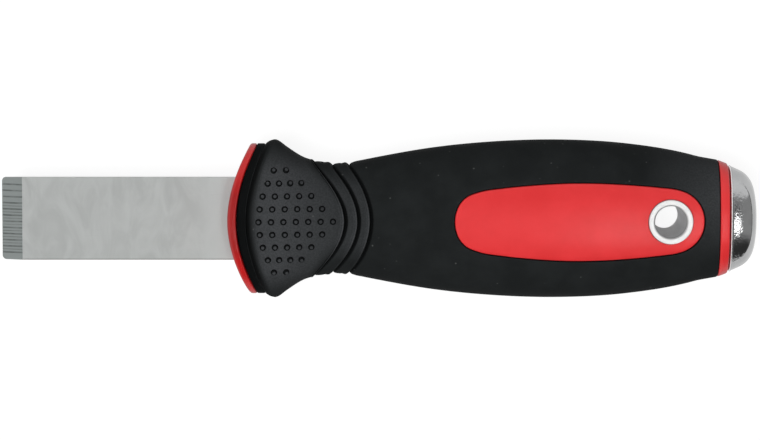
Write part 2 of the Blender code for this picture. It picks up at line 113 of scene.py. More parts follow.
def lastAdded(name):
    # what an operator has just made, under its name here
    bpy.context.object.name = name
    return bpy.context.object


def skinOver(name, rings, ends="NGON", mostCuts=100, flat=0.001):
    # a cylinder cut into as many rings as are given, with its points then laid on them;
    # what one subdivide can't give is added to its lowest stretches
    sides, cuts = len(rings[0]), len(rings) - 2
    deselectAll()
    bpy.ops.mesh.primitive_cylinder_add(vertices=sides, radius=1, depth=1, end_fill_type=ends)
    piece = lastAdded(name)
    rounds = [(min(cuts, mostCuts), far)] if cuts else []
    if cuts > mostCuts:
        rounds.append((1, (cuts - mostCuts) / (mostCuts + 1) - 0.5))
    for count, reach in rounds:
        openParts(piece, "EDGE", lambda edge: (
            abs(edge.verts[0].co.z - edge.verts[1].co.z) > flat
            and (edge.verts[0].co.z + edge.verts[1].co.z) / 2 < reach))
        bpy.ops.mesh.subdivide(number_cuts=count)
        closeEdit()
    levels = sorted({round(vertex.co.z, 4) for vertex in piece.data.vertices})
    first = piece.data.vertices[0].co
    start = atan2(first.y, first.x)
    for vertex in piece.data.vertices:
        turn = (atan2(vertex.co.y, vertex.co.x) - start) / (2 * pi)
        station = levels.index(round(vertex.co.z, 4))
        vertex.co = rings[station][round(turn * sides) % sides]
    return piece


def fillEnd(piece, test):
    # closes an open end with a grid of faces, and gives its new points
    known = len(piece.data.vertices)
    openParts(piece, "EDGE", lambda edge: edge.is_boundary and test(edge.verts[0].co))
    bpy.ops.mesh.fill_grid()
    closeEdit()
    return piece.data.vertices[known:]


def settle(piece):
    # moves the piece's place and turn into its mesh
    pick(piece)
    bpy.ops.object.transform_apply(location=True, rotation=True, scale=True)
    return piece


def rod(name, radius, start, end, sides=64):
    along = end - start
    deselectAll()
    bpy.ops.mesh.primitive_cylinder_add(
        vertices=sides, radius=radius, depth=along.length, location=(start + end) / 2,
        rotation=along.to_track_quat("Z", "Y").to_euler())
    return settle(lastAdded(name))


def slab(name, low, high):
    deselectAll()
    bpy.ops.mesh.primitive_cube_add(size=1)
    piece = lastAdded(name)
    piece.location, piece.scale = (low + high) / 2, high - low
    return settle(piece)


def joined(pieces):
    pick(pieces[0])
    for piece in pieces[1:]:
        piece.select_set(True)
    bpy.ops.object.join()
    return pieces[0]


def applyBoolean(piece, other, operation="DIFFERENCE"):
    pick(piece)
    change = piece.modifiers.new(operation.lower(), "BOOLEAN")
    change.object, change.operation, change.solver = other, operation, "EXACT"
    bpy.ops.object.modifier_apply(modifier=change.name)
    bpy.data.objects.remove(other)


def copyOf(piece, name):
    pick(piece)
    bpy.ops.object.duplicate()
    return lastAdded(name)


def onBothSides(piece):
    # joined with its mirror image on the tool's underside
    under = copyOf(piece, "under")
    openAll(under)
    bpy.ops.transform.mirror(
        constraint_axis=(False, False, True), orient_type="GLOBAL",
        center_override=(0, 0, midHeight))
    bpy.ops.mesh.flip_normals()
    closeEdit()
    return joined([piece, under])


def tidyMesh(piece, angle=32, closeBy=0.0005 * mm):
    # merges doubles, turns faces outwards and shades smooth up to an angle
    openAll(piece)
    bpy.ops.mesh.remove_doubles(threshold=closeBy)
    bpy.ops.mesh.normals_make_consistent(inside=False)
    closeEdit()
    bpy.ops.object.shade_smooth_by_angle(angle=radians(angle))


def finishPiece(piece, material, slot, *nodes):
    piece.data.materials.clear()
    piece.data.materials.append(material)
    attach(piece, "root")
    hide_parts(*nodes)
    check = bmesh.new()
    check.from_mesh(piece.data)
    loose = sum(not edge.is_manifold for edge in check.edges)
    volume = round(check.calc_volume() / (10 * mm) ** 3, 2)
    print(piece.name, len(check.faces), "faces", loose, "open edges", volume, "cm3")
    check.free()


def lengthsAlong(points):
    return np.concatenate(([0], np.cumsum(np.linalg.norm(np.diff(points, axis=0), axis=1))))


def smoothThrough(places, values, slopes, at):
    # a smooth curve through values at growing places, read at others
    i = np.clip(np.searchsorted(places, at, side="right") - 1, 0, len(places) - 2)
    span = places[i + 1] - places[i]
    t = (at - places[i]) / span
    if values.ndim == 2:
        span, t = span[:, None], t[:, None]
    curve = values[i] * (2 * t**3 - 3 * t**2 + 1) + values[i + 1] * (3 * t**2 - 2 * t**3)
    return curve + span * (slopes[i] * (t**3 - 2 * t**2 + t) + slopes[i + 1] * (t**3 - t**2))


def sizeAlong(shares, size):
    # a size along the handle, from shares of its length and of the size
    places, values = (np.array(shares) * (handleLength, size)).T
    slopes = np.gradient(values, places)
    return lambda x: smoothThrough(places, values, slopes, np.clip(x, places[0], places[-1]))


halfWidth = sizeAlong(handle["plan"], handle["width"] / 2)
halfHeight = sizeAlong(handle["profile"], handle["thickness"] / 2)

evenTurns = 2 * pi * np.arange(handle["sides"]) / handle["sides"]
seamTurns = [side + way * turn for side in (0, pi) for way in (-1, 1)
             for turn in handle["mouldLineTurns"]]
turns = np.sort(np.concatenate((evenTurns, np.mod(seamTurns, 2 * pi))))
offSeam = np.minimum(np.mod(turns, pi), pi - np.mod(turns, pi))
seamShape = handle["mouldLine"] * np.clip(1 - offSeam / handle["mouldLineTurns"][1], 0, 1)
acrossTurns = np.abs(np.cos(turns)) ** (2 / handle["squareness"])
upTurns = np.abs(np.sin(turns)) ** (2 / handle["squareness"])
acrossSign, upSign = np.sign(np.round(np.cos(turns), 9)), np.sign(np.round(np.sin(turns), 9))


def ringRound(x, bow, sizeAt, seam=0):
    # one ring round the handle, a rounded oval whose ends are swept back by the bow
    place = x + bow * acrossTurns ** handle["bowPower"]
    wide, high = sizeAt(place)
    y = (wide + seam * seamShape) * acrossTurns * acrossSign
    z = high * upTurns * upSign
    return np.column_stack((place + guardFront, y, z + midHeight))


def surfaceRing(x, inset, bow, seam=0):
    return ringRound(x, bow, lambda at: (halfWidth(at) - inset, halfHeight(at) - inset), seam)


def plainRing(x, wide, high, bow=0):
    return ringRound(x, bow, lambda at: (wide, high))


def topHeight(x, y):
    # the handle's surface above its middle plane
    share = np.clip(np.abs(y) / halfWidth(x), 0, 1)
    power = handle["squareness"]
    return halfHeight(x) * (1 - share**power) ** (1 / power)


def outwardsAt(x, y, up=1, step=0.05 * mm):
    # the direction straight out of the handle's surface, up or down
    alongLean = (topHeight(x + step, y) - topHeight(x - step, y)) / (2 * step)
    acrossLean = (topHeight(x, y + step) - topHeight(x, y - step)) / (2 * step)
    outwards = np.stack(np.broadcast_arrays(-alongLean, -acrossLean, up), axis=-1)
    return outwards / np.linalg.norm(outwards, axis=-1, keepdims=True)


def roundOver(radius, steps):
    # a quarter round from an end face to a side: distance from the face, depth under the side
    bends = [k * pi / 2 / steps for k in range(steps + 1)]
    return [(radius * (1 - cos(bend)), radius * (1 - sin(bend))) for bend in bends]


def curveThrough(points, count, closed=False, fineness=12):
    # evenly spaced points on a smooth curve through the given ones
    points = np.array(points, float)
    if closed:
        points = np.vstack((points, points[:1]))
    starts = lengthsAlong(points)
    slopes = np.gradient(points, starts, axis=0)
    if closed:
        slopes[0] = slopes[-1] = (points[1] - points[-2]) / (starts[1] + starts[-1] - starts[-2])
    curve = smoothThrough(starts, points, slopes, np.linspace(0, starts[-1], count * fineness))
    run = lengthsAlong(curve)
    even = np.linspace(0, run[-1], count, endpoint=not closed)
    return np.column_stack([np.interp(even, run, column) for column in curve.T])


# The camera stands over the tool, leaning a little towards its back edge as in the photograph
camera = {
    "distance": 870 * mm,
    "lean": radians(5.0),
    "target": (0.44 * mm, -0.44 * mm, 12.8 * mm),
    "viewWidth": 184.3 * mm,     # what the frame's width covers at the tool's middle plane
    "sensor": 36,
    "nearest": 10 * mm,          # what it still sees
}


def makeCamera():
    data = bpy.data.cameras.new("camera")
    data.sensor_width = camera["sensor"]
    data.lens = camera["sensor"] * camera["distance"] / camera["viewWidth"]
    data.clip_start = camera["nearest"]
    holder = bpy.data.objects.new("camera", data)
    bpy.context.scene.collection.objects.link(holder)
    reach = Vector((0, sin(camera["lean"]), cos(camera["lean"]))) * camera["distance"]
    holder.location = Vector(camera["target"]) + reach
    holder.rotation_euler = (-camera["lean"], 0, 0)
    bpy.context.scene.camera = holder
    print("camera: placed")


makeCamera()

collarEnd = handleLength - 0.5 * mm
bowPlaces, bowSizes = (np.array(handle["bows"]) * handleLength).T

guard = {
    "front": 0.4 * mm,
    "back": 2.5 * mm,            # of the red flange
    "frontRound": 1.0 * mm,      # the rim's front and back corner
    "backRound": 0.4 * mm,
    "step": 1.1 * mm,            # how far flange and lip stand in from the guard's crest
    "bow": 5.05 * mm,
    "crest": 0.075 * handleLength,
    "lipBow": 4.8 * mm,
    "lipThickness": 1.9 * mm,
    "lipDrop": 1.2 * mm,
    "lipSlope": 0.5 * mm,        # how much lower its front edge lies than its back
    "lipGroove": (0.3 * mm, 0.15 * mm),
    "noseLength": 3.9 * mm,
    "nose": (                    # share of its length, shares of the rise left at sides and top
        (0, 1, 1), (0.02, 0.92, 0.83), (0.05, 0.84, 0.7), (0.09, 0.74, 0.59),
        (0.14, 0.62, 0.49), (0.2, 0.49, 0.4), (0.27, 0.36, 0.315), (0.35, 0.24, 0.235),
        (0.44, 0.14, 0.165), (0.54, 0.07, 0.105), (0.65, 0.03, 0.058), (0.76, 0.01, 0.024),
        (0.88, 0, 0.006), (1, 0, 0)),
}
guard["halfWidth"] = handle["width"] / 2 - guard["step"]
guard["halfHeight"] = float(halfHeight(guard["crest"])) - guard["step"]

panel = {
    "start": 55.05 * mm,
    "length": 59.9 * mm,
    "width": 18.7 * mm,
    "sink": 0.2 * mm,            # below the grip's surface
    "edgeRadius": 0.35 * mm,
    "edgeSteps": 6,
    "edgeBand": 0.5 * mm,        # even strip inside the round edge
    "foot": 6 * mm,              # its block starts this high above the middle plane
    "gap": 0.09 * mm,            # to the grip's window
    "points": 160,
    "outline": (                 # half outline: share of its length, share of half its width
        (0, 0), (0.004, 0.215), (0.018, 0.44), (0.046, 0.635), (0.095, 0.765),
        (0.2, 0.875), (0.31, 0.945), (0.45, 0.995), (0.58, 0.99), (0.705, 0.945),
        (0.83, 0.87), (0.885, 0.825), (0.93, 0.73), (0.968, 0.545), (0.992, 0.29),
        (1, 0)),
}
eyeLow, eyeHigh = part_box("hang_eyelet")
eyeX = (eyeLow.x + eyeHigh.x) / 2 - guardFront


def bowAt(x):
    # sweep of the line that crosses the handle at x
    return np.interp(x, [guard["back"], *bowPlaces], [guard["lipBow"], *bowSizes])


def lineThrough(x, y, rounds=12):
    # where the line across the handle that passes through a point meets its middle
    swept = np.clip(np.abs(y) / halfWidth(x), 0, 1) ** handle["bowPower"]
    middle = x
    for _ in range(rounds):
        middle = x - bowAt(middle) * swept
    return middle


def panelRing(grow, depth):
    # the panel's outline, grown outwards and laid on the handle's surface or under it
    half = np.array(panel["outline"]) * (panel["length"], panel["width"] / 2)
    whole = np.vstack((half * (1, -1), half[-2:0:-1])) + (panel["start"], 0)
    loop = curveThrough(whole, panel["points"], closed=True)
    along = np.roll(loop, -1, axis=0) - np.roll(loop, 1, axis=0)
    along /= np.linalg.norm(along, axis=1)[:, None]
    x, y = (loop + grow * np.column_stack((along[:, 1], -along[:, 0]))).T
    return np.column_stack((x + guardFront, y, topHeight(x, y) - depth + midHeight))


grip = {
    "gap": 0.1 * mm,             # shadow line at the flange and at the collar
    "wall": 2.4 * mm,
    "edgeRound": 0.3 * mm,
    "edgeSteps": 4,
    "ringSpacing": 1.1 * mm,
    "clear": 0.3 * mm,           # from a groove to the next plain ring
    "collar": 2.25 * mm,         # length of the red collar behind the grip
    "grooves": (0.238, 0.264, 0.2887),
    "grooveRings": 22,
    "grooveShape": (             # place from a groove's middle and depth there, in mm
        (-1.5, 0), (-1.3, 0.05), (-1.08, 0), (-0.8, -0.1), (-0.55, -0.1),
        (-0.38, 0.02), (-0.26, 0.26), (-0.15, 0.54), (-0.05, 0.7), (0.05, 0.73),
        (0.15, 0.64), (0.24, 0.44), (0.36, 0.28), (0.6, 0.16), (0.9, 0.07), (1.3, 0)),
    "windowDepth": 4 * mm,
    "windowRadius": 0.35 * mm,
    "windowTurns": range(11, 78, 11),      # degrees round the window's edge
    "windowFlare": (1.9, 0.35),            # then straight on, in radii outwards and up
}
grip["front"] = guard["back"] + grip["gap"]
grip["end"] = collarEnd - grip["collar"] - grip["gap"]
grooves = [share * handleLength for share in grip["grooves"]]
nubs = {
    "radius": 0.78 * mm,
    "height": 0.50 * mm,
    "topShare": 0.54,
    "rounding": 0.12 * mm,
    "roundingSteps": 4,
    "sunk": 0.6 * mm,
    "sides": 20,
    "rowPitch": 3.06 * mm,
    "rows": (                    # row number from the middle, how many, first and last place in mm
        (0, 7, 8, 25.8), (1, 6, 8.3, 23.2), (2, 5, 9, 20.6), (3, 4, 10.2, 18.2),
        (4, 2, 11.6, 14.5)),
}


def gripRings():
    # lip, fine groove, round nose, the pad, three shingled grooves and the palm swell
    back = grip["front"] + guard["lipThickness"]
    grooveWidth, grooveDepth = guard["lipGroove"]
    wide, high = guard["halfWidth"], guard["halfHeight"] - guard["lipDrop"]
    edge = roundOver(grip["edgeRound"], grip["edgeSteps"])
    lip = [(grip["front"] + x, inset) for x, inset in edge]
    lip += [(back - x, inset) for x, inset in reversed(edge)]
    lip += [(back, grooveDepth), (back + grooveWidth, grooveDepth)]
    rings = []
    for x, inset in lip:
        slope = guard["lipSlope"] * max(back - x, 0) / guard["lipThickness"]
        rings.append(plainRing(x, wide - inset, high - inset - slope, guard["lipBow"]))

    nose = back + grooveWidth
    noseEnd = nose + guard["noseLength"]
    rise = float(halfHeight(noseEnd)) - high + grooveDepth
    for share, sideLeft, topLeft in guard["nose"]:
        x = nose + share * guard["noseLength"]
        rings.append(ringRound(x, bowAt(x), lambda at: (
            halfWidth(at) - (guard["step"] + grooveDepth) * sideLeft,
            halfHeight(at) - rise * topLeft)))

    shape = curveThrough(np.array(grip["grooveShape"]) * mm, grip["grooveRings"])
    stations = [(groove + x, depth) for groove in grooves for x, depth in shape]
    before, after = shape[0][0] - grip["clear"], shape[-1][0] + grip["clear"]
    spacing = grip["ringSpacing"]
    for x in np.arange(noseEnd + spacing, grip["end"] - 2 * grip["clear"], spacing):
        if all(x < groove + before or x > groove + after for groove in grooves):
            stations.append((x, 0))
    stations += [(grip["end"] - x, inset) for x, inset in edge]
    return rings + [surfaceRing(x, inset, bowAt(x), seam=1) for x, inset in sorted(stations)]


def innerRings(inset, front, back, count=12):
    return [surfaceRing(x, inset, bowAt(x)) for x in np.linspace(front, back, count)]


def windowCutter():
    # the panel's outline, flared at the surface so that the window gets a round edge
    radius, gap = grip["windowRadius"], panel["gap"]
    rings = [panelRing(gap, grip["windowDepth"]), panelRing(gap, radius)]
    for turn in grip["windowTurns"]:
        bend = radians(turn)
        rings.append(panelRing(gap + radius * (1 - cos(bend)), radius * (1 - sin(bend))))
    outwards, up = grip["windowFlare"]
    rings.append(panelRing(gap + radius * outwards, -up * radius))
    lid = rings[-1].copy()
    lid[:, 2] = midHeight + handle["thickness"] / 2 + mm
    return skinOver("windowCutter", rings + [lid])


def makeNubs():
    # one nub is modelled, then copied to every place of the pattern
    height, top = nubs["height"], nubs["topShare"]
    tall = height + nubs["sunk"]
    deselectAll()
    bpy.ops.mesh.primitive_cylinder_add(vertices=nubs["sides"], radius=nubs["radius"], depth=tall)
    first = lastAdded("nub")
    openParts(first, "FACE", lambda face: face.normal.z > 0.9)
    bpy.ops.transform.translate(value=(0, 0, -height))
    bpy.ops.mesh.extrude_region_move(TRANSFORM_OT_translate={"value": (0, 0, height)})
    bpy.ops.transform.resize(value=(top, top, 1))
    bpy.ops.mesh.region_to_loop()
    bpy.ops.mesh.bevel(offset=nubs["rounding"], segments=nubs["roundingSteps"], affect="EDGES")
    bpy.ops.mesh.select_all(action="SELECT")
    bpy.ops.transform.translate(value=(0, 0, tall / 2 - height))
    closeEdit()
    copies = []
    for row, count, start, stop in nubs["rows"]:
        for side in ((1, -1) if row else (1,)):
            y = side * row * nubs["rowPitch"]
            for x in np.linspace(start * mm, stop * mm, count):
                copies.append(copyOf(first, "nub"))
                place = Vector((x + guardFront, y, topHeight(x, y) + midHeight))
                turn = Vector(outwardsAt(x, y)).to_track_quat("Z", "Y").to_matrix().to_4x4()
                copies[-1].data.transform(Matrix.Translation(place) @ turn)
    bpy.data.objects.remove(first)
    return joined(copies)


def makeGrip():
    outside = gripRings()
    inside = innerRings(grip["wall"], grip["front"], grip["end"])
    grown = skinOver("softGrip", outside + inside[::-1] + outside[:1], ends="NOTHING")
    tidyMesh(grown)
    applyBoolean(grown, onBothSides(windowCutter()))
    applyBoolean(grown, onBothSides(makeNubs()), "UNION")
    tidyMesh(grown)
    print("grip: skin, windows and nubs")
    return grown


blade = {
    "length": 54.6 * mm,         # cutting edge to guard front
    "width": 20 * mm,
    "halfThickness": 1.2 * mm,
    "edgeThickness": 0.2 * mm,
    "bevelLength": 5.05 * mm,
    "cornerRadius": 1.0 * mm,
    "cornerSteps": 10,
    "edgeBreak": 0.08 * mm,      # fine bevel along all the edges
    "root": 4.0 * mm,            # how far the ground part runs into the handle
    "linePitch": 1.5 * mm,
    "lineSides": 20,
    "lines": 12,                 # ground lines across the bevel
    "line": (0.18 * mm, 0.13 * mm),       # radius and depth
    "faintStart": 3.5,           # pitches from the last firm line to the first faint one
    "faintLines": 8,
    "faintLine": (0.13 * mm, 0.035 * mm),
    "smoothAngle": 20,
}
tang = {
    "front": 2.5 * mm,
    "halfThickness": 1.3 * mm,
    "width": 12 * mm,
    "tailWidth": 6.6 * mm,
    "shoulder": 12 * mm,         # how far the full width runs into the handle
    "land": 7.4 * mm,            # radius of the steel left round the eyelet
    "landSteps": 24,
    "gap": 0.1 * mm,
    "pinHole": 1.55 * mm,
}
core = {
    "inset": 2.7 * mm,           # how deep the core lies under the handle's surface
    "seam": 0.05 * mm,           # half the gap between the two shells
    "rimSteps": (9, 6),          # round the flange's front and back corner
    "edgeRound": 0.3 * mm,
    "edgeSteps": 4,
    "pegs": (0.190, 0.420, 0.660),
    "pegRadius": 2.0 * mm,
    "pegGap": 0.3 * mm,
    "pegFoot": 4.3 * mm,
    "pegTop": 4.6 * mm,
    "slot": (-3 * mm, 4 * mm),   # where the slot for the blade runs
    "slotGap": 0.08 * mm,
}
eyelet = {
    "proud": 0.3 * mm,           # above the handle's surface
    "flare": 5.40 * mm,
    "flareThickness": 1.1 * mm,
    "rimSlope": (0.1 * mm, 0.02 * mm),
    "tube": 4.5 * mm,
    "bore": 4.7 * mm,
    "play": 0.1 * mm,            # round the bore, in the tang and in the ring
    "throat": 3.3 * mm,
    "throatEnd": 0.8 * mm,       # height of the throat, which widens a little at its ends
    "throatSlope": (0.02 * mm, 0.1 * mm),
    "mouth": 4.20 * mm,          # the funnel narrows from here to the neck over its depth
    "neck": 3.80 * mm,
    "neckDepth": 0.75 * mm,
    "curl": (0.5 * mm, 0.3 * mm, 0.4 * mm),    # over the ring: width, depth and thickness
    "funnelRounds": (0.12, 0.3, 0.15, 0, 0, 0.1, 0.25, 0.35, 0, 0.1),    # corner by corner, in mm
    "ringWidth": 1.2 * mm,
    "ringThickness": 1.0 * mm,
    "ringRounds": (0, 0.1, 0.3, 0.1),
    "seatGap": 0.12 * mm,
    "steps": 96,
}
eyelet["surface"] = float(halfHeight(eyeX))
eyelet["top"] = eyelet["surface"] + eyelet["proud"]
cap = {
    "seam": 0.15 * mm,           # to the collar
    "gap": 0.3 * mm,             # round the tang's tail
    "edgeRadius": 0.6 * mm,
    "edgeSteps": 6,
    "clear": 0.05 * mm,          # from the round edge to the next ring
    "stations": 44,
    "shares": (                  # share of its length, shares of the collar's width and thickness
        (0, 0.985, 1), (0.04, 0.98, 1), (0.17, 0.955, 0.99), (0.34, 0.917, 0.975),
        (0.49, 0.88, 0.955), (0.63, 0.832, 0.925), (0.75, 0.768, 0.88), (0.85, 0.685, 0.815),
        (0.92, 0.585, 0.73), (0.965, 0.47, 0.62), (0.99, 0.38, 0.53), (1, 0.33, 0.48)),
    "boss": 5.0 * mm,
    "bossGap": 0.2 * mm,
}
cap["front"] = collarEnd + cap["seam"]
cap["length"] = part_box("strike_cap")[1].x - guardFront - cap["front"]
cap["bossFront"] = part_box("strike_cap")[0].x - guardFront
tang["end"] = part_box("blade")[1].x - guardFront
tang["pin"] = (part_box("cap_pin")[0].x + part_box("cap_pin")[1].x) / 2 - guardFront


def pointAt(x, y=0, z=0):
    # from the guard's front, on the blade's middle plane
    return Vector((guardFront + x, y, midHeight + z))


def plate(name, *loops):
    # flat outlines one above the other, each with its height
    return skinOver(name, [[pointAt(x, y, z) for x, y in loop] for loop, z in loops])


def upright(name, x, radius, low, high, sides=64):
    return rod(name, radius, pointAt(x, 0, low), pointAt(x, 0, high), sides)


def atPegs(name, radius, low, high):
    return [upright(name, share * handleLength, radius, low, high) for share in core["pegs"]]


def mirrored(side):
    # a whole outline from its upper side
    return [(x, -y) for x, y in side] + side[::-1]


def bladeLoop(grow=0):
    # the ground part from above: two rounded tip corners, open to the handle
    half, corner, steps = blade["width"] / 2, blade["cornerRadius"], blade["cornerSteps"]
    bends = [pi - k * pi / 2 / steps for k in range(steps + 1)]
    side = [(corner - blade["length"] + (corner + grow) * cos(bend),
             half - corner + (corner + grow) * sin(bend)) for bend in bends]
    return mirrored(side + [(blade["root"] + grow, half + grow)])


def tangLoop(front, grow=0):
    # root, tang, land round the eyelet and tail from above
    widths = blade["width"], tang["width"], tang["tailWidth"]
    root, middle, tail = (width / 2 + grow for width in widths)
    land, shoulder = tang["land"] + grow, tang["shoulder"] + grow
    side = [(front, root), (shoulder, root), (shoulder, middle)]
    side += [(eyeX + land * cos(bend), land * sin(bend)) for bend in np.linspace(
        pi - np.arcsin(middle / land), np.arcsin(tail / land), tang["landSteps"])]
    return mirrored(side + [(tang["end"] + grow, tail)])


def bevelLines():
    # rods laid along the bevel, each sunk a little into it
    low, pitch = blade["edgeThickness"] - blade["halfThickness"], blade["linePitch"]
    along = Vector((blade["bevelLength"], 0, blade["halfThickness"] - low)).normalized()
    outwards = Vector((-along.z, 0, along.x))
    firm = [(k - (blade["lines"] - 1) / 2) * pitch for k in range(blade["lines"])]
    faint = [firm[-1] - (k + blade["faintStart"]) * pitch for k in range(blade["faintLines"])]
    rods = []
    for places, (radius, depth) in ((firm, blade["line"]), (faint, blade["faintLine"])):
        for y in places:
            start = Vector((-blade["length"], y, low)) + outwards * (radius - depth) - along * mm
            end = start + along * (blade["bevelLength"] / along.x + 2 * mm)
            rods.append(rod("line", radius, pointAt(*start), pointAt(*end), blade["lineSides"]))
    return joined(rods)


def makeBlade():
    thick, fine = blade["halfThickness"], blade["edgeBreak"]
    steel = plate(
        "scraperBlade", (bladeLoop(-fine), -thick), (bladeLoop(), fine - thick),
        (bladeLoop(), thick - fine), (bladeLoop(-fine), thick))
    low = blade["edgeThickness"] - thick
    openAll(steel)
    bpy.ops.mesh.bisect(
        plane_co=pointAt(-blade["length"], 0, low), use_fill=True, clear_outer=True,
        plane_no=Vector((low - thick, 0, blade["bevelLength"])).normalized())
    closeEdit()
    applyBoolean(steel, bevelLines())
    loop, thick = tangLoop(tang["front"]), tang["halfThickness"]
    applyBoolean(steel, plate("strip", (loop, -thick), (loop, thick)), "UNION")
    reach = 2 * thick
    holes = atPegs("hole", core["pegRadius"] + core["pegGap"], -reach, reach)
    holes.append(upright("hole", eyeX, eyelet["bore"] + eyelet["play"], -reach, reach))
    holes.append(upright("hole", tang["pin"], tang["pinHole"], -reach, reach))
    applyBoolean(steel, joined(holes))
    tidyMesh(steel, blade["smoothAngle"])
    print("blade: strip, bevel and", blade["lines"] + blade["faintLines"], "ground lines")
    return steel


def coreSkin():
    # rounded flange, the body under the grip, and the collar
    thickness, collar = guard["back"] - guard["front"], collarEnd - grip["collar"]
    frontSteps, backSteps = core["rimSteps"]
    rim = roundOver(guard["frontRound"], frontSteps)
    backRim = roundOver(guard["backRound"], backSteps)
    rim += [(thickness - x, inset) for x, inset in reversed(backRim)]
    rings = []
    for x, inset in rim:
        bow = guard["bow"] + (guard["lipBow"] - guard["bow"]) * x / thickness
        wide, high = guard["halfWidth"] - inset, guard["halfHeight"] - inset
        rings.append(plainRing(guard["front"] + x, wide, high, bow))
    rings += innerRings(core["inset"], guard["back"], collar)
    edge = roundOver(core["edgeRound"], core["edgeSteps"])
    rings += [surfaceRing(collar + x, inset, 0) for x, inset in edge]
    rings += [surfaceRing(collarEnd - x, inset, 0) for x, inset in reversed(edge)]

    skin = skinOver("coreSkin", rings, ends="NOTHING")
    wide = guard["halfWidth"] - guard["frontRound"]
    for vertex in fillEnd(skin, lambda co: co.x < guardFront + handleLength / 2):
        bow = guard["bow"] * min(abs(vertex.co.y) / wide, 1) ** handle["bowPower"]
        vertex.co.x = guardFront + guard["front"] + bow
    fillEnd(skin, lambda co: True)
    return skin


def panelIsland():
    # the panel's raised block: round edge, then a grid of faces laid on the handle's surface
    radius, sink = panel["edgeRadius"], panel["sink"]
    foot = panelRing(0, 0)
    foot[:, 2] = midHeight + panel["foot"]
    rings = [foot] + [panelRing(-inset, sink + depth)
                      for inset, depth in roundOver(radius, panel["edgeSteps"])]
    rings.append(panelRing(-radius - panel["edgeBand"], sink))
    island = skinOver("island", rings, ends="NOTHING")
    for vertex in fillEnd(island, lambda co: co.z > midHeight + panel["foot"] + mm):
        vertex.co.z = midHeight + float(topHeight(vertex.co.x - guardFront, vertex.co.y)) - sink
    openParts(island, "EDGE", lambda edge: edge.is_boundary)
    bpy.ops.mesh.edge_face_add()
    closeEdit()
    tidyMesh(island)
    return island


def coreRooms():
    # what is left free inside the core for the blade, the cap's boss and the eyelet
    gap, tight, seatGap = tang["gap"], core["slotGap"], eyelet["seatGap"]
    loop, thick = tangLoop(tang["front"] - gap, gap), tang["halfThickness"] + gap
    rooms = plate("rooms", (loop, -thick), (loop, thick))
    slotFront, slotEnd = core["slot"]
    side, thick = blade["width"] / 2 + tight, blade["halfThickness"] + tight
    reach, steps = handle["thickness"] / 2 + mm, eyelet["steps"]
    seat = eyelet["top"] - eyelet["flareThickness"] - gap
    under = eyelet["ringThickness"] + gap - eyelet["surface"]
    ringRoom = eyelet["bore"] + eyelet["ringWidth"] + 2 * seatGap
    for room in (
            slab("slot", pointAt(slotFront, -side, -thick), pointAt(slotEnd, side, thick)),
            rod("boss", cap["boss"] + cap["bossGap"], pointAt(cap["bossFront"] - gap),
                pointAt(handleLength + mm)),
            upright("bore", eyeX, eyelet["bore"], -reach, reach),
            upright("flare", eyeX, eyelet["flare"] + seatGap, seat, reach, steps),
            upright("ringRoom", eyeX, ringRoom, -reach, under, steps)):
        applyBoolean(rooms, room, "UNION")
    return rooms


def makeCore():
    upper = coreSkin()
    applyBoolean(upper, onBothSides(panelIsland()), "UNION")
    applyBoolean(upper, coreRooms())
    lower = copyOf(upper, "lowerCore")
    upper.name = "upperCore"
    end, side, seam = handleLength + 2 * mm, handle["width"], core["seam"]
    for shell, low, high in ((upper, seam, side), (lower, -side, -seam)):
        half = slab("half", pointAt(-mm, -side, low), pointAt(end, side, high))
        applyBoolean(shell, half, "INTERSECT")
    radius, top, gap = core["pegRadius"], core["pegTop"], core["pegGap"]
    applyBoolean(upper, joined(atPegs("socket", radius + gap, 0, top + gap)))
    applyBoolean(lower, joined(atPegs("peg", radius, -core["pegFoot"], top)), "UNION")
    for shell in (upper, lower):
        tidyMesh(shell)
    print("core: two shells with flange, panels and collar")
    return upper, lower


def softLoop(corners, rounds, steps=5):
    # a closed outline whose corners are rounded, each by its own reach in mm
    points = []
    for k, reach in enumerate(rounds):
        corner, before, after = (Vector(corners[n % len(corners)]) for n in (k, k - 1, k + 1))
        if not reach:
            points.append(corner)
            continue
        start, end = (corner + (other - corner).normalized() * (reach * mm)
                      for other in (before, after))
        for step in range(steps + 1):
            t = step / steps
            points.append(start * (1 - t) ** 2 + corner * 2 * t * (1 - t) + end * t**2)
    return points


def turned(name, outline):
    # an outline of radius and height, spun round the hang hole's axis
    deselectAll()
    bpy.ops.mesh.primitive_circle_add(vertices=len(outline))
    piece = lastAdded(name)
    for vertex, (r, z) in zip(piece.data.vertices, outline):
        vertex.co = pointAt(eyeX + r, 0, z)
    openAll(piece)
    bpy.ops.mesh.spin(steps=eyelet["steps"], angle=2 * pi, center=pointAt(eyeX), axis=(0, 0, 1))
    closeEdit()
    tidyMesh(piece)
    return piece


def makeEyelet():
    surface, top, rim, tube, throat = (
        eyelet[name] for name in ("surface", "top", "flare", "tube", "throat"))
    under = top - eyelet["flareThickness"]
    curlWidth, curlDepth, curlThickness = eyelet["curl"]
    (rimIn, rimDrop), (throatIn, throatOut) = eyelet["rimSlope"], eyelet["throatSlope"]
    curl = -surface - curlDepth
    foot = curl - curlThickness
    funnel = turned("hangEyelet", softLoop((
        (eyelet["mouth"], top), (rim - rimIn, top - rimDrop), (rim, under), (tube, under),
        (tube, curl), (tube + curlWidth, curl), (tube + curlWidth, foot),
        (throat + throatOut, foot), (throat + throatIn, foot + eyelet["throatEnd"]),
        (eyelet["neck"], top - eyelet["neckDepth"])), eyelet["funnelRounds"]))
    inner = eyelet["bore"] + eyelet["play"]
    outer, upper = inner + eyelet["ringWidth"], eyelet["ringThickness"] - surface
    ring = turned("eyeletRing", softLoop((
        (inner, upper), (outer, upper), (outer, -surface), (inner, -surface)),
        eyelet["ringRounds"]))
    print("eyelet: funnel and ring")
    return funnel, ring


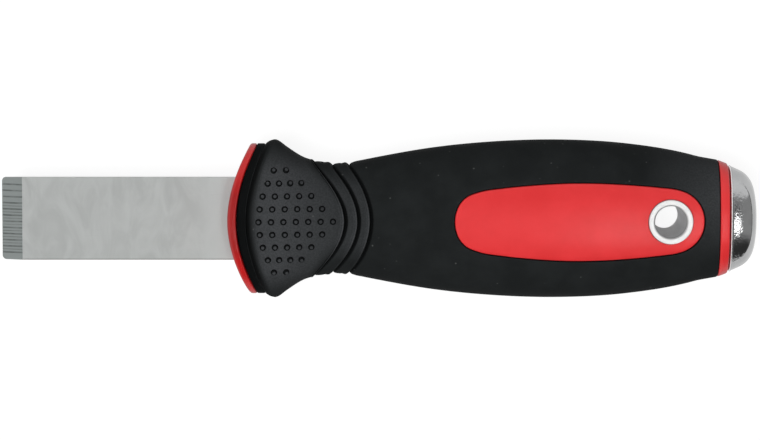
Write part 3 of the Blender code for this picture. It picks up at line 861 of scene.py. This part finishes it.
def makeCap():
    front, length, boss, gap = (cap[name] for name in ("front", "length", "boss", "gap"))
    wide, high = float(halfWidth(handleLength)), float(halfHeight(handleLength))
    firstAcross, firstUp = cap["shares"][0][1:]
    rings = [plainRing(front + x, wide * firstAcross - inset, high * firstUp - inset)
             for x, inset in roundOver(cap["edgeRadius"], cap["edgeSteps"])]
    for share, across, up in curveThrough(cap["shares"], cap["stations"]):
        if share * length > cap["edgeRadius"] + cap["clear"]:
            rings.append(plainRing(front + share * length, across * wide, up * high))
    steel = skinOver("strikeCap", rings, ends="NOTHING")
    fillEnd(steel, lambda co: co.x > guardFront + front + length / 2)
    fillEnd(steel, lambda co: True)
    applyBoolean(steel, rod("boss", boss, pointAt(cap["bossFront"]), pointAt(front + mm)), "UNION")
    tail, half = tang["tailWidth"] / 2 + gap, tang["halfThickness"] + gap
    low, high = pointAt(cap["bossFront"] - mm, -tail, -half), pointAt(tang["end"] + gap, tail, half)
    applyBoolean(steel, slab("slot", low, high))
    applyBoolean(steel, upright("pinHole", tang["pin"], tang["pinHole"], -2 * boss, 2 * boss))
    tidyMesh(steel)
    print("cap: dome, boss, slot and pin hole")
    return steel


edges = {
    "reach": 0.3 * mm,           # a round edge of this radius counts as a full edge
    "leastWidth": 0.02 * mm,     # of the faces at an edge
    "leastLength": 1e-7,
}


def storeValues(piece, name, domain, values):
    store = piece.data.attributes.new(name, "FLOAT", domain)
    store.data.foreach_set("value", values)


def markEdges(piece):
    # stores how sharply the surface bends at each point: 1 on an edge, below 0 in a groove
    shape = bmesh.new()
    shape.from_mesh(piece.data)
    bends = np.zeros(len(shape.verts))
    for edge in shape.edges:
        if len(edge.link_faces) == 2:
            length = max(edge.calc_length(), edges["leastLength"])
            width = sum(face.calc_area() for face in edge.link_faces) / 2 / length
            bend = edge.calc_face_angle_signed(0) / max(width, edges["leastWidth"]) * edges["reach"]
            for vertex in edge.verts:
                if abs(bend) > abs(bends[vertex.index]):
                    bends[vertex.index] = bend
    shape.free()
    storeValues(piece, "edge", "POINT", np.clip(bends, -1, 1))


class Nodes:
    # makes and links the nodes of one tree; a value is a number, a colour or another node's output
    mixSockets = {"FLOAT": ((0, 2, 3), 0), "RGBA": ((0, 6, 7), 2)}

    def __init__(self, tree):
        self.tree = tree

    def feed(self, value, entry):
        if isinstance(value, bpy.types.NodeSocket):
            self.tree.links.new(value, entry)
        elif entry.type == "RGBA":
            entry.default_value = (*value, 1.0)
        else:
            entry.default_value = value

    def add(self, kind, *values, output=0, settings=None, **named):
        # settings are the node's own options, values go to its inputs in order or by name
        node = self.tree.nodes.new("ShaderNode" + kind)
        for name, value in (settings or {}).items():
            setattr(node, name, value)
        for k, value in enumerate(values):
            self.feed(value, node.inputs[k])
        for label, value in named.items():
            self.feed(value, node.inputs[label.replace("_", " ")])
        return node.outputs[output]

    def math(self, operation, *values, kind="Math", output=0):
        return self.add(kind, *values, output=output, settings={"operation": operation})

    def times(self, first, second):
        return self.math("MULTIPLY", first, second)

    def spread(self, value, start, stop, low=0.0, high=1.0, kind="SMOOTHSTEP"):
        # low up to the start, high from the stop on
        return self.add(
            "MapRange", settings={"interpolation_type": kind}, Value=value,
            From_Min=start, From_Max=stop, To_Min=low, To_Max=high)

    def within(self, value, start, full, fall, stop):
        # 1 between full and fall
        return self.times(self.spread(value, start, full), self.spread(value, fall, stop, 1.0, 0.0))

    def mix(self, mask, first, second, kind="FLOAT"):
        # the first where the mask is 0, the second where it is 1
        node = self.tree.nodes.new("ShaderNodeMix")
        node.data_type = kind
        places, output = self.mixSockets[kind]
        for place, value in zip(places, (mask, first, second)):
            self.feed(value, node.inputs[place])
        return node.outputs[output]


groups = {}


def makeGroup(build, **entries):
    # a node group with named inputs and outputs; an entry that isn't one number is a vector
    nodes = Nodes(bpy.data.node_groups.new(build.__name__, "ShaderNodeTree"))
    interface = nodes.tree.interface
    for label, value in entries.items():
        kind = "NodeSocketFloat" if isinstance(value, float) else "NodeSocketVector"
        socket = interface.new_socket(label, in_out="INPUT", socket_type=kind)
        if value is not None:
            socket.default_value = value
    given = nodes.tree.nodes.new("NodeGroupInput").outputs
    results = build(nodes, {label: given[label] for label in entries})
    for label, source in results.items():
        kind = "NodeSocketVector" if source.type == "VECTOR" else "NodeSocketFloat"
        interface.new_socket(label, in_out="OUTPUT", socket_type=kind)
    target = nodes.tree.nodes.new("NodeGroupOutput")
    for label, source in results.items():
        nodes.feed(source, target.inputs[label])
    groups[build.__name__] = nodes.tree


def mottle(nodes, given, roughness=0.55, spread=(0.3, 0.7)):
    # soft patches between two levels, stretched by the vector that is put in
    low, high = given.pop("Low"), given.pop("High")
    noise = nodes.add("TexNoise", output="Fac", Roughness=roughness, **given)
    return {"Value": nodes.spread(noise, *spread, low, high)}


def dustSpecks(nodes, given):
    # small round specks at random places, of random strength
    cells = nodes.tree.nodes.new("ShaderNodeTexVoronoi")
    for label in ("Vector", "Scale"):
        nodes.feed(given[label], cells.inputs[label])
    near = nodes.spread(cells.outputs["Distance"], 0.0, given["Size"], 1.0, 0.0, "LINEAR")
    red, green = (nodes.add("SeparateColor", cells.outputs["Color"], output=name)
                  for name in ("Red", "Green"))
    strength = nodes.times(green, nodes.math("LESS_THAN", red, given["Share"]))
    return {"Mask": nodes.times(near, strength)}


def scratches(nodes, given, scale=160.0, chosen=(0.45, 0.65)):
    # thin lines where a stretched noise crosses its middle, only here and there
    stretched = nodes.math("MULTIPLY", given["Vector"], given["Stretch"], kind="VectorMath")
    lines = nodes.add("TexNoise", output="Fac", Vector=stretched, Scale=1.0, Detail=1.0)
    away = nodes.math("ABSOLUTE", nodes.math("SUBTRACT", lines, 0.5))
    thin = nodes.spread(away, 0.0, given["Width"], 1.0, 0.0, "LINEAR")
    where = nodes.add("TexNoise", output="Fac", Vector=given["Vector"], Scale=scale, Detail=2.0)
    return {"Mask": nodes.times(thin, nodes.spread(where, *chosen, 0.0, given["Amount"]))}


def edgeWear(nodes, given, worn=(0.12, 0.8), hollowShade=(-0.15, -0.8), uneven=(0.3, 0.7, 0.35, 1.0)):
    # rubbed edges, also used as a painted highlight, and painted shade in grooves, from the stored
    # bend
    bend = given.pop("Bend")
    noise = nodes.add("TexNoise", output="Fac", Detail=3.0, **given)
    uneven = nodes.spread(noise, *uneven, "LINEAR")
    return {name: nodes.times(nodes.spread(bend, *places), uneven)
            for name, places in (("Worn", worn), ("Dirty", hollowShade))}


def relief(nodes, given, roughness=0.6):
    # fine moulded or ground grain as a normal
    strength, depth = given.pop("Strength"), given.pop("Depth")
    noise = nodes.add("TexNoise", output="Fac", Roughness=roughness, **given)
    return {"Normal": nodes.add("Bump", Strength=strength, Distance=depth, Height=noise)}


def softBand(nodes, given):
    # 1 between two values, with soft ends
    value, start, end, soft = given.values()
    early, late = nodes.math("SUBTRACT", start, soft), nodes.math("ADD", end, soft)
    return {"Mask": nodes.within(value, early, start, end, late)}


makeGroup(mottle, Vector=None, Scale=100.0, Detail=2.0, Distortion=0.0, Low=0.0, High=1.0)
makeGroup(dustSpecks, Vector=None, Scale=800.0, Size=0.2, Share=0.1)
makeGroup(scratches, Vector=None, Stretch=(40.0, 900.0, 40.0), Width=0.012, Amount=0.5)
makeGroup(edgeWear, Vector=None, Bend=0.0, Scale=900.0)
makeGroup(relief, Vector=None, Scale=2000.0, Detail=2.0, Strength=0.1, Depth=0.05 * mm)
makeGroup(softBand, Value=0.0, Start=0.0, End=1.0, Softness=0.1)
print("materials:", len(groups), "node groups")


class Surface(Nodes):
    # one material: a shader and the effects that feed it
    def __init__(self, name, **values):
        self.material = bpy.data.materials.new(name)
        self.material.use_nodes = True
        super().__init__(self.material.node_tree)
        self.shader = self.tree.nodes["Principled BSDF"]
        self.use(**values)

    def use(self, **values):
        for label, value in values.items():
            self.feed(value, self.shader.inputs[label.replace("_", " ")])
        return self.material

    def places(self):
        return self.add("TexCoord", output="Object")

    def axis(self, letter):
        return self.add("SeparateXYZ", self.places(), output=letter)

    def attribute(self, name):
        return self.add("Attribute", settings={"attribute_name": name}, output="Fac")

    def group(self, name, output=0, **values):
        return self.add("Group", settings={"node_tree": groups[name]}, output=output, **values)

    def effect(self, name, output=0, stretch=None, **values):
        vector = self.places()
        if stretch:
            vector = self.math("MULTIPLY", vector, stretch, kind="VectorMath")
        return self.group(name, output, Vector=vector, **values)

    def wear(self, output, scale):
        return self.effect("edgeWear", output, Bend=self.attribute("edge"), Scale=scale)

    def band(self, value, softness, start=-far, end=far):
        return self.group("softBand", Value=value, Start=start, End=end, Softness=softness)

    def between(self, mask, low, high):
        return self.spread(mask, 0.0, 1.0, low, high, "LINEAR")

    def coats(self, look, colour, **masks):
        # the look's colours over each other, each where its mask is 1; a fourth number thins it
        for name, mask in masks.items():
            tone, share = look[name][:3], look[name][3:]
            colour = self.mix(self.times(mask, *share) if share else mask, colour, tone, "RGBA")
        return colour

    def finish(self, look, colour, patches, **relief):
        return self.use(
            Base_Color=colour, Roughness=self.between(patches, *look["roughness"]),
            Normal=self.effect("relief", **look["relief"], **relief))


rubberLook = {
    "base": (0.0132, 0.0147, 0.0150),
    "paler": (0.01782, 0.019845, 0.02025),
    "patches": {"Scale": 130, "Detail": 4},
    # the pad: its etched finish, with painted sheen over it
    "pad": (0.066, 0.069, 0.073),
    "padGrain": {"Scale": 2600, "Low": 0.62},
    # paler rubbed edges, partly a painted highlight on the bead tops
    "worn": (0.040, 0.043, 0.044, 0.45),
    "wornScale": 700.0,
    # painted shade in the grooves, on the lip and on steep sides
    "groove": (0.0032, 0.0037, 0.0038, 0.82),
    "dust": (0.16, 0.165, 0.16, 0.6),
    "specks": {"Scale": 700, "Size": 0.20, "Share": 0.10},
    "specular": 0.02,
    "roughness": (0.58, 0.72),
    "relief": {"Scale": 2600, "Strength": 0.35, "Depth": 0.03 * mm},
    "lipShade": (4.7, 5.3),       # the painted shade on the lip ends between these places, in mm as all below
    "padLevels": (               # how strongly it is etched and painted with sheen: place along the middle and level
        (5.2, 0), (8, 0.8), (13, 0.9), (20, 0.66), (28.6, 0.4), (35, 0.32), (35.1, 0)),
    "padSides": (12, 19),        # how the etch and its painted sheen fade towards the sides, there and at the grooves
    "neckSides": (6.5, 11.5),
    "neckMiddle": 1.5,
    "neckStart": (24, 28),
    "endSheen": (100, 120),        # painted sheen on the palm's end, less on the lower side
    "endSheenSide": (-9, 4),
    "endSheenLevel": 0.65,
    "beadRise": (-1.5, -0.6),    # painted highlight on the bead in front of each groove, from its middle
    "beadSides": (2.5, 8),
    "beadMiddle": -1.5,
    "beadHighlightLevel": 0.6,
    "grooveShadeHalf": (0.22, 0.4),
    "grooveShadeSides": (8, 12),
    "grooveShadeFade": 0.8,
    "steepShade": (0.82, 0.96),       # cosines of a face's lean away from the handle's surface; steeper faces get painted shade
}


def fade(value, start, stop):
    return np.clip((value - start) / (stop - start), 0, 1)


def readValues(items, name):
    values = np.empty(len(items) * 3)
    items.foreach_get(name, values)
    return values.reshape(-1, 3)


def markRubber(piece):
    # the first stored mark is up to 1 on the pad (its etch with painted sheen), on the beads
    # (painted highlight) and on the palm's end (painted sheen), and -1 where shade is painted in
    # the grooves and on the lip; the second is 1 on the side faces of nubs and grooves, where shade
    # is painted
    look = rubberLook
    x, y, _ = (readValues(piece.data.vertices, "co") - (guardFront, 0, 0)).T
    line, y = lineThrough(x, y) / mm, y / mm
    neck = fade(line, *look["neckStart"])
    sides = (1 - neck) * fade(np.abs(y), *look["padSides"])
    sides += neck * fade(np.abs(y - look["neckMiddle"]), *look["neckSides"])
    # the pad's etch with painted sheen, fading to the right and to the sides
    etchSheenAndShade = np.interp(line, *zip(*look["padLevels"])) * (1 - sides)
    # painted sheen on the palm's end
    etchSheenAndShade += look["endSheenLevel"] * fade(line, *look["endSheen"]) * fade(y, *look["endSheenSide"])
    # painted shade on the lip
    dark = 1 - fade(line, *look["lipShade"])
    beadSides = 1 - fade(np.abs(y - look["beadMiddle"]), *look["beadSides"])
    depth = 1 - look["grooveShadeFade"] * fade(np.abs(y), *look["grooveShadeSides"])
    for groove in grooves:
        past = line - groove / mm
        # painted highlight on the bead in front of the groove
        beadHighlight = look["beadHighlightLevel"] * fade(past, *look["beadRise"]) * beadSides
        etchSheenAndShade += np.where(past < 0, beadHighlight, 0)
        # painted shade in the groove
        dark = np.maximum(dark, depth * (1 - fade(np.abs(past), *look["grooveShadeHalf"])))
    storeValues(piece, "etchSheenAndShade", "POINT", np.where(dark > 0, -dark, np.clip(etchSheenAndShade, 0, 1)))

    faces = piece.data.polygons
    x, y, z = (readValues(faces, "center") - (guardFront, 0, midHeight)).T
    facing = np.abs((readValues(faces, "normal") * outwardsAt(x, y, np.sign(z))).sum(axis=1))
    storeValues(piece, "steepShade", "FACE", 1 - fade(facing, *look["steepShade"]))


def makeRubber():
    look = rubberLook
    rubber = Surface("blackRubber", Specular_IOR_Level=look["specular"])
    patches = rubber.effect("mottle", **look["patches"])
    etchSheenAndShade, steepShade = rubber.attribute("etchSheenAndShade"), rubber.attribute("steepShade")
    # the pad's etch with its painted sheen and highlights, kept off steep faces
    pad = rubber.times(rubber.math("MAXIMUM", etchSheenAndShade, 0.0), rubber.math("SUBTRACT", 1.0, steepShade))
    colour = rubber.coats(
        look, look["base"], paler=patches,
        pad=rubber.times(pad, rubber.effect("mottle", **look["padGrain"])),
        # rubbed edges, partly a painted highlight
        worn=rubber.wear("Worn", look["wornScale"]),
        # painted shade in grooves, on the lip and on steep faces
        groove=rubber.math("MAXIMUM", rubber.times(etchSheenAndShade, -1.0), steepShade),
        dust=rubber.effect("dustSpecks", **look["specks"]))
    return rubber.finish(look, colour, patches)


redLook = {
    "base": (0.75, 0.021, 0.024),
    "brighter": (0.80, 0.027, 0.031),
    "patches": {"Scale": 150, "Detail": 4},
    "flange": (0.35, 0.0, 0.0),
    "flangeReach": 4 * mm,       # from the guard's front, fading over as much again
    "flangeEnd": (0.53, 0.003, 0.003),
    "flangeEndStart": (7 * mm, 12 * mm),  # how softly its ends begin, and where
    # paler worn edges, partly a painted highlight along them
    "worn": (0.82, 0.085, 0.090, 0.12),
    "wornScale": 600.0,
    "specular": 0.8,
    "roughness": (0.35, 0.43),
    "roughnessPatches": {"Scale": 900},
    "relief": {"Scale": 1500, "Detail": 3, "Strength": 0.12, "Depth": 0.02 * mm},
}


def makeRed():
    look = redLook
    red = Surface("redPlastic", Specular_IOR_Level=look["specular"])
    reach = look["flangeReach"]
    front = red.band(red.axis("X"), reach, end=guardFront + reach)
    outer = red.band(red.math("ABSOLUTE", red.axis("Y")), *look["flangeEndStart"])
    colour = red.coats(look, look["base"], brighter=red.effect("mottle", **look["patches"]))
    flange = red.coats(look, look["flange"], flangeEnd=outer)
    colour = red.mix(front, colour, flange, "RGBA")
    # worn edges, partly a painted highlight
    colour = red.coats(look, colour, worn=red.wear("Worn", look["wornScale"]))
    return red.finish(look, colour, red.effect("mottle", **look["roughnessPatches"]))


bladeLook = {
    "base": (0.615, 0.634, 0.624),
    "smudge": (0.525, 0.541, 0.533),
    "smudges": {"stretch": (1.6, 0.8, 1), "Scale": 110, "Detail": 5, "Distortion": 1.2},
    "root": (0.65, 0.690, 0.680),
    "rootLightReach": 10 * mm,        # painted light near the guard, against its shade: from the guard, softly
    # the bevel: its ground finish, darkened further as painted shade
    "bevel": (0.265, 0.290, 0.285),
    "bevelSoft": 0.02 * mm,
    "bevelFloor": 0.05 * mm,     # above the blade's flat underside
    # painted shade in the ground lines
    "line": (0.11, 0.125, 0.12),
    "lineScale": 500.0,
    "scratch": (0.525, 0.541, 0.533, 0.5),
    "scratches": {"Stretch": (60, 1400, 60), "Width": 0.012, "Amount": 0.5},
    # painted shade on the blade's lower edge
    "rim": (0.26, 0.25, 0.24, 0.8),
    "edgeShadeReach": (0.2 * mm, 0.08 * mm),    # painted shade along the lower edge: width and softness
    "edgeShadeDepth": 0.1 * mm,
    "metallic": 0.4,
    "roughness": (0.34, 0.46),
    "relief": {"stretch": (0.15, 1, 1), "Scale": 2400, "Strength": 0.10, "Depth": 0.02 * mm},
}


def makeSteel():
    look = bladeLook
    steel = Surface("bladeSteel", Metallic=look["metallic"])
    x, y, z = (steel.axis(letter) for letter in "XYZ")
    bevelEnd = guardFront - blade["length"] + blade["bevelLength"]
    underside, top = midHeight - blade["halfThickness"], midHeight + blade["halfThickness"]
    soft, (edgeShadeWidth, edgeShadeSoft) = look["bevelSoft"], look["edgeShadeReach"]
    smudges = steel.effect("mottle", **look["smudges"])
    # the ground bevel, darker partly as painted shade
    ground = steel.times(
        steel.band(x, soft, end=bevelEnd), steel.band(z, soft, underside + look["bevelFloor"]))
    # painted shade along the blade's lower edge
    rim = steel.times(
        steel.band(y, edgeShadeSoft, end=edgeShadeWidth - blade["width"] / 2),
        steel.band(z, look["edgeShadeDepth"], top - look["edgeShadeDepth"]))
    # paler near the guard as painted light against its shade
    colour = steel.coats(
        look, look["base"], smudge=smudges, root=steel.band(x, look["rootLightReach"], guardFront),
        # painted shade in the ground lines on the bevel
        bevel=ground, line=steel.times(steel.wear("Dirty", look["lineScale"]), ground),
        scratch=steel.effect("scratches", **look["scratches"]), rim=rim)
    return steel.finish(look, colour, smudges)


chromeLook = {
    "base": (0.60, 0.605, 0.61),
    "dull": (0.53, 0.535, 0.54),
    "patches": {"Scale": 220, "Detail": 3},
    "speck": (0.25, 0.25, 0.25, 0.5),
    "specks": {"Scale": 700, "Size": 0.2, "Share": 0.06},
    "edge": (1.0, 1.0, 1.0),
    "highlightReach": (0.35 * mm, 0.15 * mm),  # painted highlight along the edge at the collar: width and softness
    "roughness": (0.06, 0.14),
    "relief": {"Scale": 1500, "Detail": 3, "Strength": 1},
    "reliefDepth": (0.012 * mm, 0.075 * mm),
    "reliefReach": 2.2 * mm,     # the deeper relief's end from the collar; it fades as far again
}


def makeChrome():
    look = chromeLook
    chrome = Surface("brightChrome", Metallic=1.0)
    capFront = guardFront + cap["front"]
    patches = chrome.effect("mottle", **look["patches"])
    (width, softness), reach = look["highlightReach"], look["reliefReach"]
    grained = chrome.band(chrome.axis("X"), reach, end=capFront + reach)
    # with a painted highlight along the edge at the collar
    colour = chrome.coats(
        look, look["base"], dull=patches, speck=chrome.effect("dustSpecks", **look["specks"]),
        edge=chrome.band(chrome.axis("X"), softness, end=capFront + width))
    return chrome.finish(
        look, colour, patches, Depth=chrome.between(grained, *look["reliefDepth"]))


eyeletLook = {
    "base": (0.99, 0.99, 0.985),
    "wall": (0.72, 0.72, 0.725),
    "wallShadeDepth": (0.16 * mm, 0.1 * mm),   # painted shade on the wall inside: below the flare's top, and softness
    "crease": (0.42, 0.42, 0.425),
    "creaseReach": (0.6 * mm, 0.1 * mm, 0.25 * mm),    # painted shade round the neck: below and above the neck, and softness
    "scratch": (0.45, 0.45, 0.46, 0.5),
    "scratches": {"Stretch": (900, 900, 60), "Width": 0.02, "Amount": 0.6},
    "metallic": 0.25,
    "roughness": (0.40, 0.55),
    "roughnessPatches": {"Scale": 500, "Detail": 3},
    "relief": {"Scale": 900, "Strength": 0.15, "Depth": 0.02 * mm},
}


def makeEyeletMetal():
    look = eyeletLook
    pale = Surface("eyeletMetal", Metallic=look["metallic"])
    top = midHeight + eyelet["top"]
    neck = top - eyelet["neckDepth"]
    (depth, wallSoft), (below, above, creaseSoft) = look["wallShadeDepth"], look["creaseReach"]
    # painted shade on the wall inside the hole
    colour = pale.coats(
        look, look["base"], wall=pale.band(pale.axis("Z"), wallSoft, end=top - depth),
        # painted shade round the neck
        crease=pale.band(pale.axis("Z"), creaseSoft, neck - below, neck + above),
        scratch=pale.effect("scratches", **look["scratches"]))
    return pale.finish(look, colour, pale.effect("mottle", **look["roughnessPatches"]))


studio = {
    "ambient": (0.05, 0.48),     # what matt surfaces get from the horizon and from overhead
    "keyShare": 0.65,            # of the light on an upward surface
    "keyFrom": (-0.20, -0.10, 0.97),
    "keySize": radians(24),
    "white": 0.8,                # the rest is a picture that only reflections show
    "strip": (-0.97, -0.88, 0.42, 0.53),  # a dark strip overhead: where its sides are
    "stripStart": (-0.55, -0.35),
    "dark": 0.04,
    "grey": 0.33,                # its level towards the strike cap
    "greyStart": (0.22, 0.42),
    "greySide": (-0.60, -0.25),
    "horizon": (0.00, 0.03, 0.08, 0.12),
    "horizonStart": (0.45, 0.95),
    "horizonLevel": 0.10,
    "lampFrom": (0.262, -0.19, 1.0),
    "lampEdge": (0.9905, 0.9995),
    "lamp": 9.5,
    "floor": 0.50,
    "floorRoughness": 0.9,
    "seenFloor": 0.145,          # what the camera sees of it, and how much it glows there
    "seenGlow": 0.90,
    "mirroredGlow": 0.60,        # its glow in reflections
    "floorSize": 3.0,
}


def makeWorld():
    world = bpy.data.worlds.new("studio")
    bpy.context.scene.world = world
    world.use_nodes = True
    sky = Nodes(world.node_tree)
    towards = sky.add("TexCoord", output="Generated")
    x, y, z = (sky.add("SeparateXYZ", towards, output=letter) for letter in "XYZ")
    strip = sky.times(sky.within(y, *studio["strip"]), sky.spread(x, *studio["stripStart"]))
    grey = sky.times(sky.spread(x, *studio["greyStart"]), sky.spread(y, *studio["greySide"]))
    picture = sky.mix(strip, studio["white"], sky.mix(grey, studio["dark"], studio["grey"]))
    horizon = sky.times(sky.within(z, *studio["horizon"]), sky.spread(x, *studio["horizonStart"]))
    picture = sky.mix(horizon, picture, studio["horizonLevel"])
    lampFrom = Vector(studio["lampFrom"]).normalized()
    toLamp = sky.math("DOT_PRODUCT", towards, lampFrom, kind="VectorMath", output="Value")
    lamp = sky.times(sky.spread(toLamp, *studio["lampEdge"]), studio["lamp"])
    matt = sky.mix(sky.spread(z, 0.0, 1.0), *studio["ambient"])
    picture = sky.math("MAXIMUM", picture, lamp)
    level = sky.mix(sky.add("LightPath", output="Is Glossy Ray"), matt, picture)
    level = sky.mix(sky.add("LightPath", output="Is Camera Ray"), level, 1.0)
    sky.feed(level, sky.tree.nodes["Background"].inputs["Color"])


def makeStudio():
    makeWorld()
    data = bpy.data.lights.new("softKey", "SUN")
    keyFrom = Vector(studio["keyFrom"]).normalized()
    data.angle = studio["keySize"]
    data.energy = pi * studio["keyShare"] / keyFrom.z
    key = bpy.data.objects.new("softKey", data)
    key.visible_glossy = False
    bpy.context.scene.collection.objects.link(key)
    key.rotation_euler = keyFrom.to_track_quat("Z", "Y").to_euler()

    deselectAll()
    bpy.ops.mesh.primitive_plane_add(size=studio["floorSize"])
    floor = lastAdded("floor")
    paper = Surface(
        "whitePaper", Roughness=studio["floorRoughness"], Specular_IOR_Level=0.0,
        Emission_Color=(1, 1, 1))
    seen, mirrored = (
        paper.add("LightPath", output=name) for name in ("Is Camera Ray", "Is Glossy Ray"))
    glow = paper.math(
        "ADD", paper.times(seen, studio["seenGlow"]), paper.times(mirrored, studio["mirroredGlow"]))
    shade = paper.mix(paper.math("MAXIMUM", seen, mirrored), studio["floor"], studio["seenFloor"])
    floor.data.materials.append(paper.use(Emission_Strength=glow, Base_Color=shade))
    bpy.context.scene.view_settings.view_transform = "Standard"
    print("studio: world, key light and floor")


makeStudio()
blackRubber, redPlastic, bladeSteel = makeRubber(), makeRed(), makeSteel()
brightChrome, eyeletMetal = makeChrome(), makeEyeletMetal()

softGrip = makeGrip()
scraperBlade = makeBlade()
upperCore, lowerCore = makeCore()
hangEyelet, eyeletRing = makeEyelet()
strikeCap = makeCap()
for piece in (softGrip, scraperBlade, upperCore, lowerCore):
    markEdges(piece)
markRubber(softGrip)
finishPiece(softGrip, blackRubber, "black_rubber", "grip_overmould")
finishPiece(scraperBlade, bladeSteel, "blade_steel", "blade")
finishPiece(upperCore, redPlastic, "red_plastic", "core_shell_upper")
finishPiece(lowerCore, redPlastic, "red_plastic", "core_shell_lower")
finishPiece(hangEyelet, eyeletMetal, "eyelet_metal", "hang_eyelet")
finishPiece(eyeletRing, eyeletMetal, "eyelet_metal", "eyelet_ring")
finishPiece(strikeCap, brightChrome, "bright_steel", "strike_cap")

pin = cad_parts["cap_pin"]
pin.data.materials.clear()
pin.data.materials.append(bladeSteel)
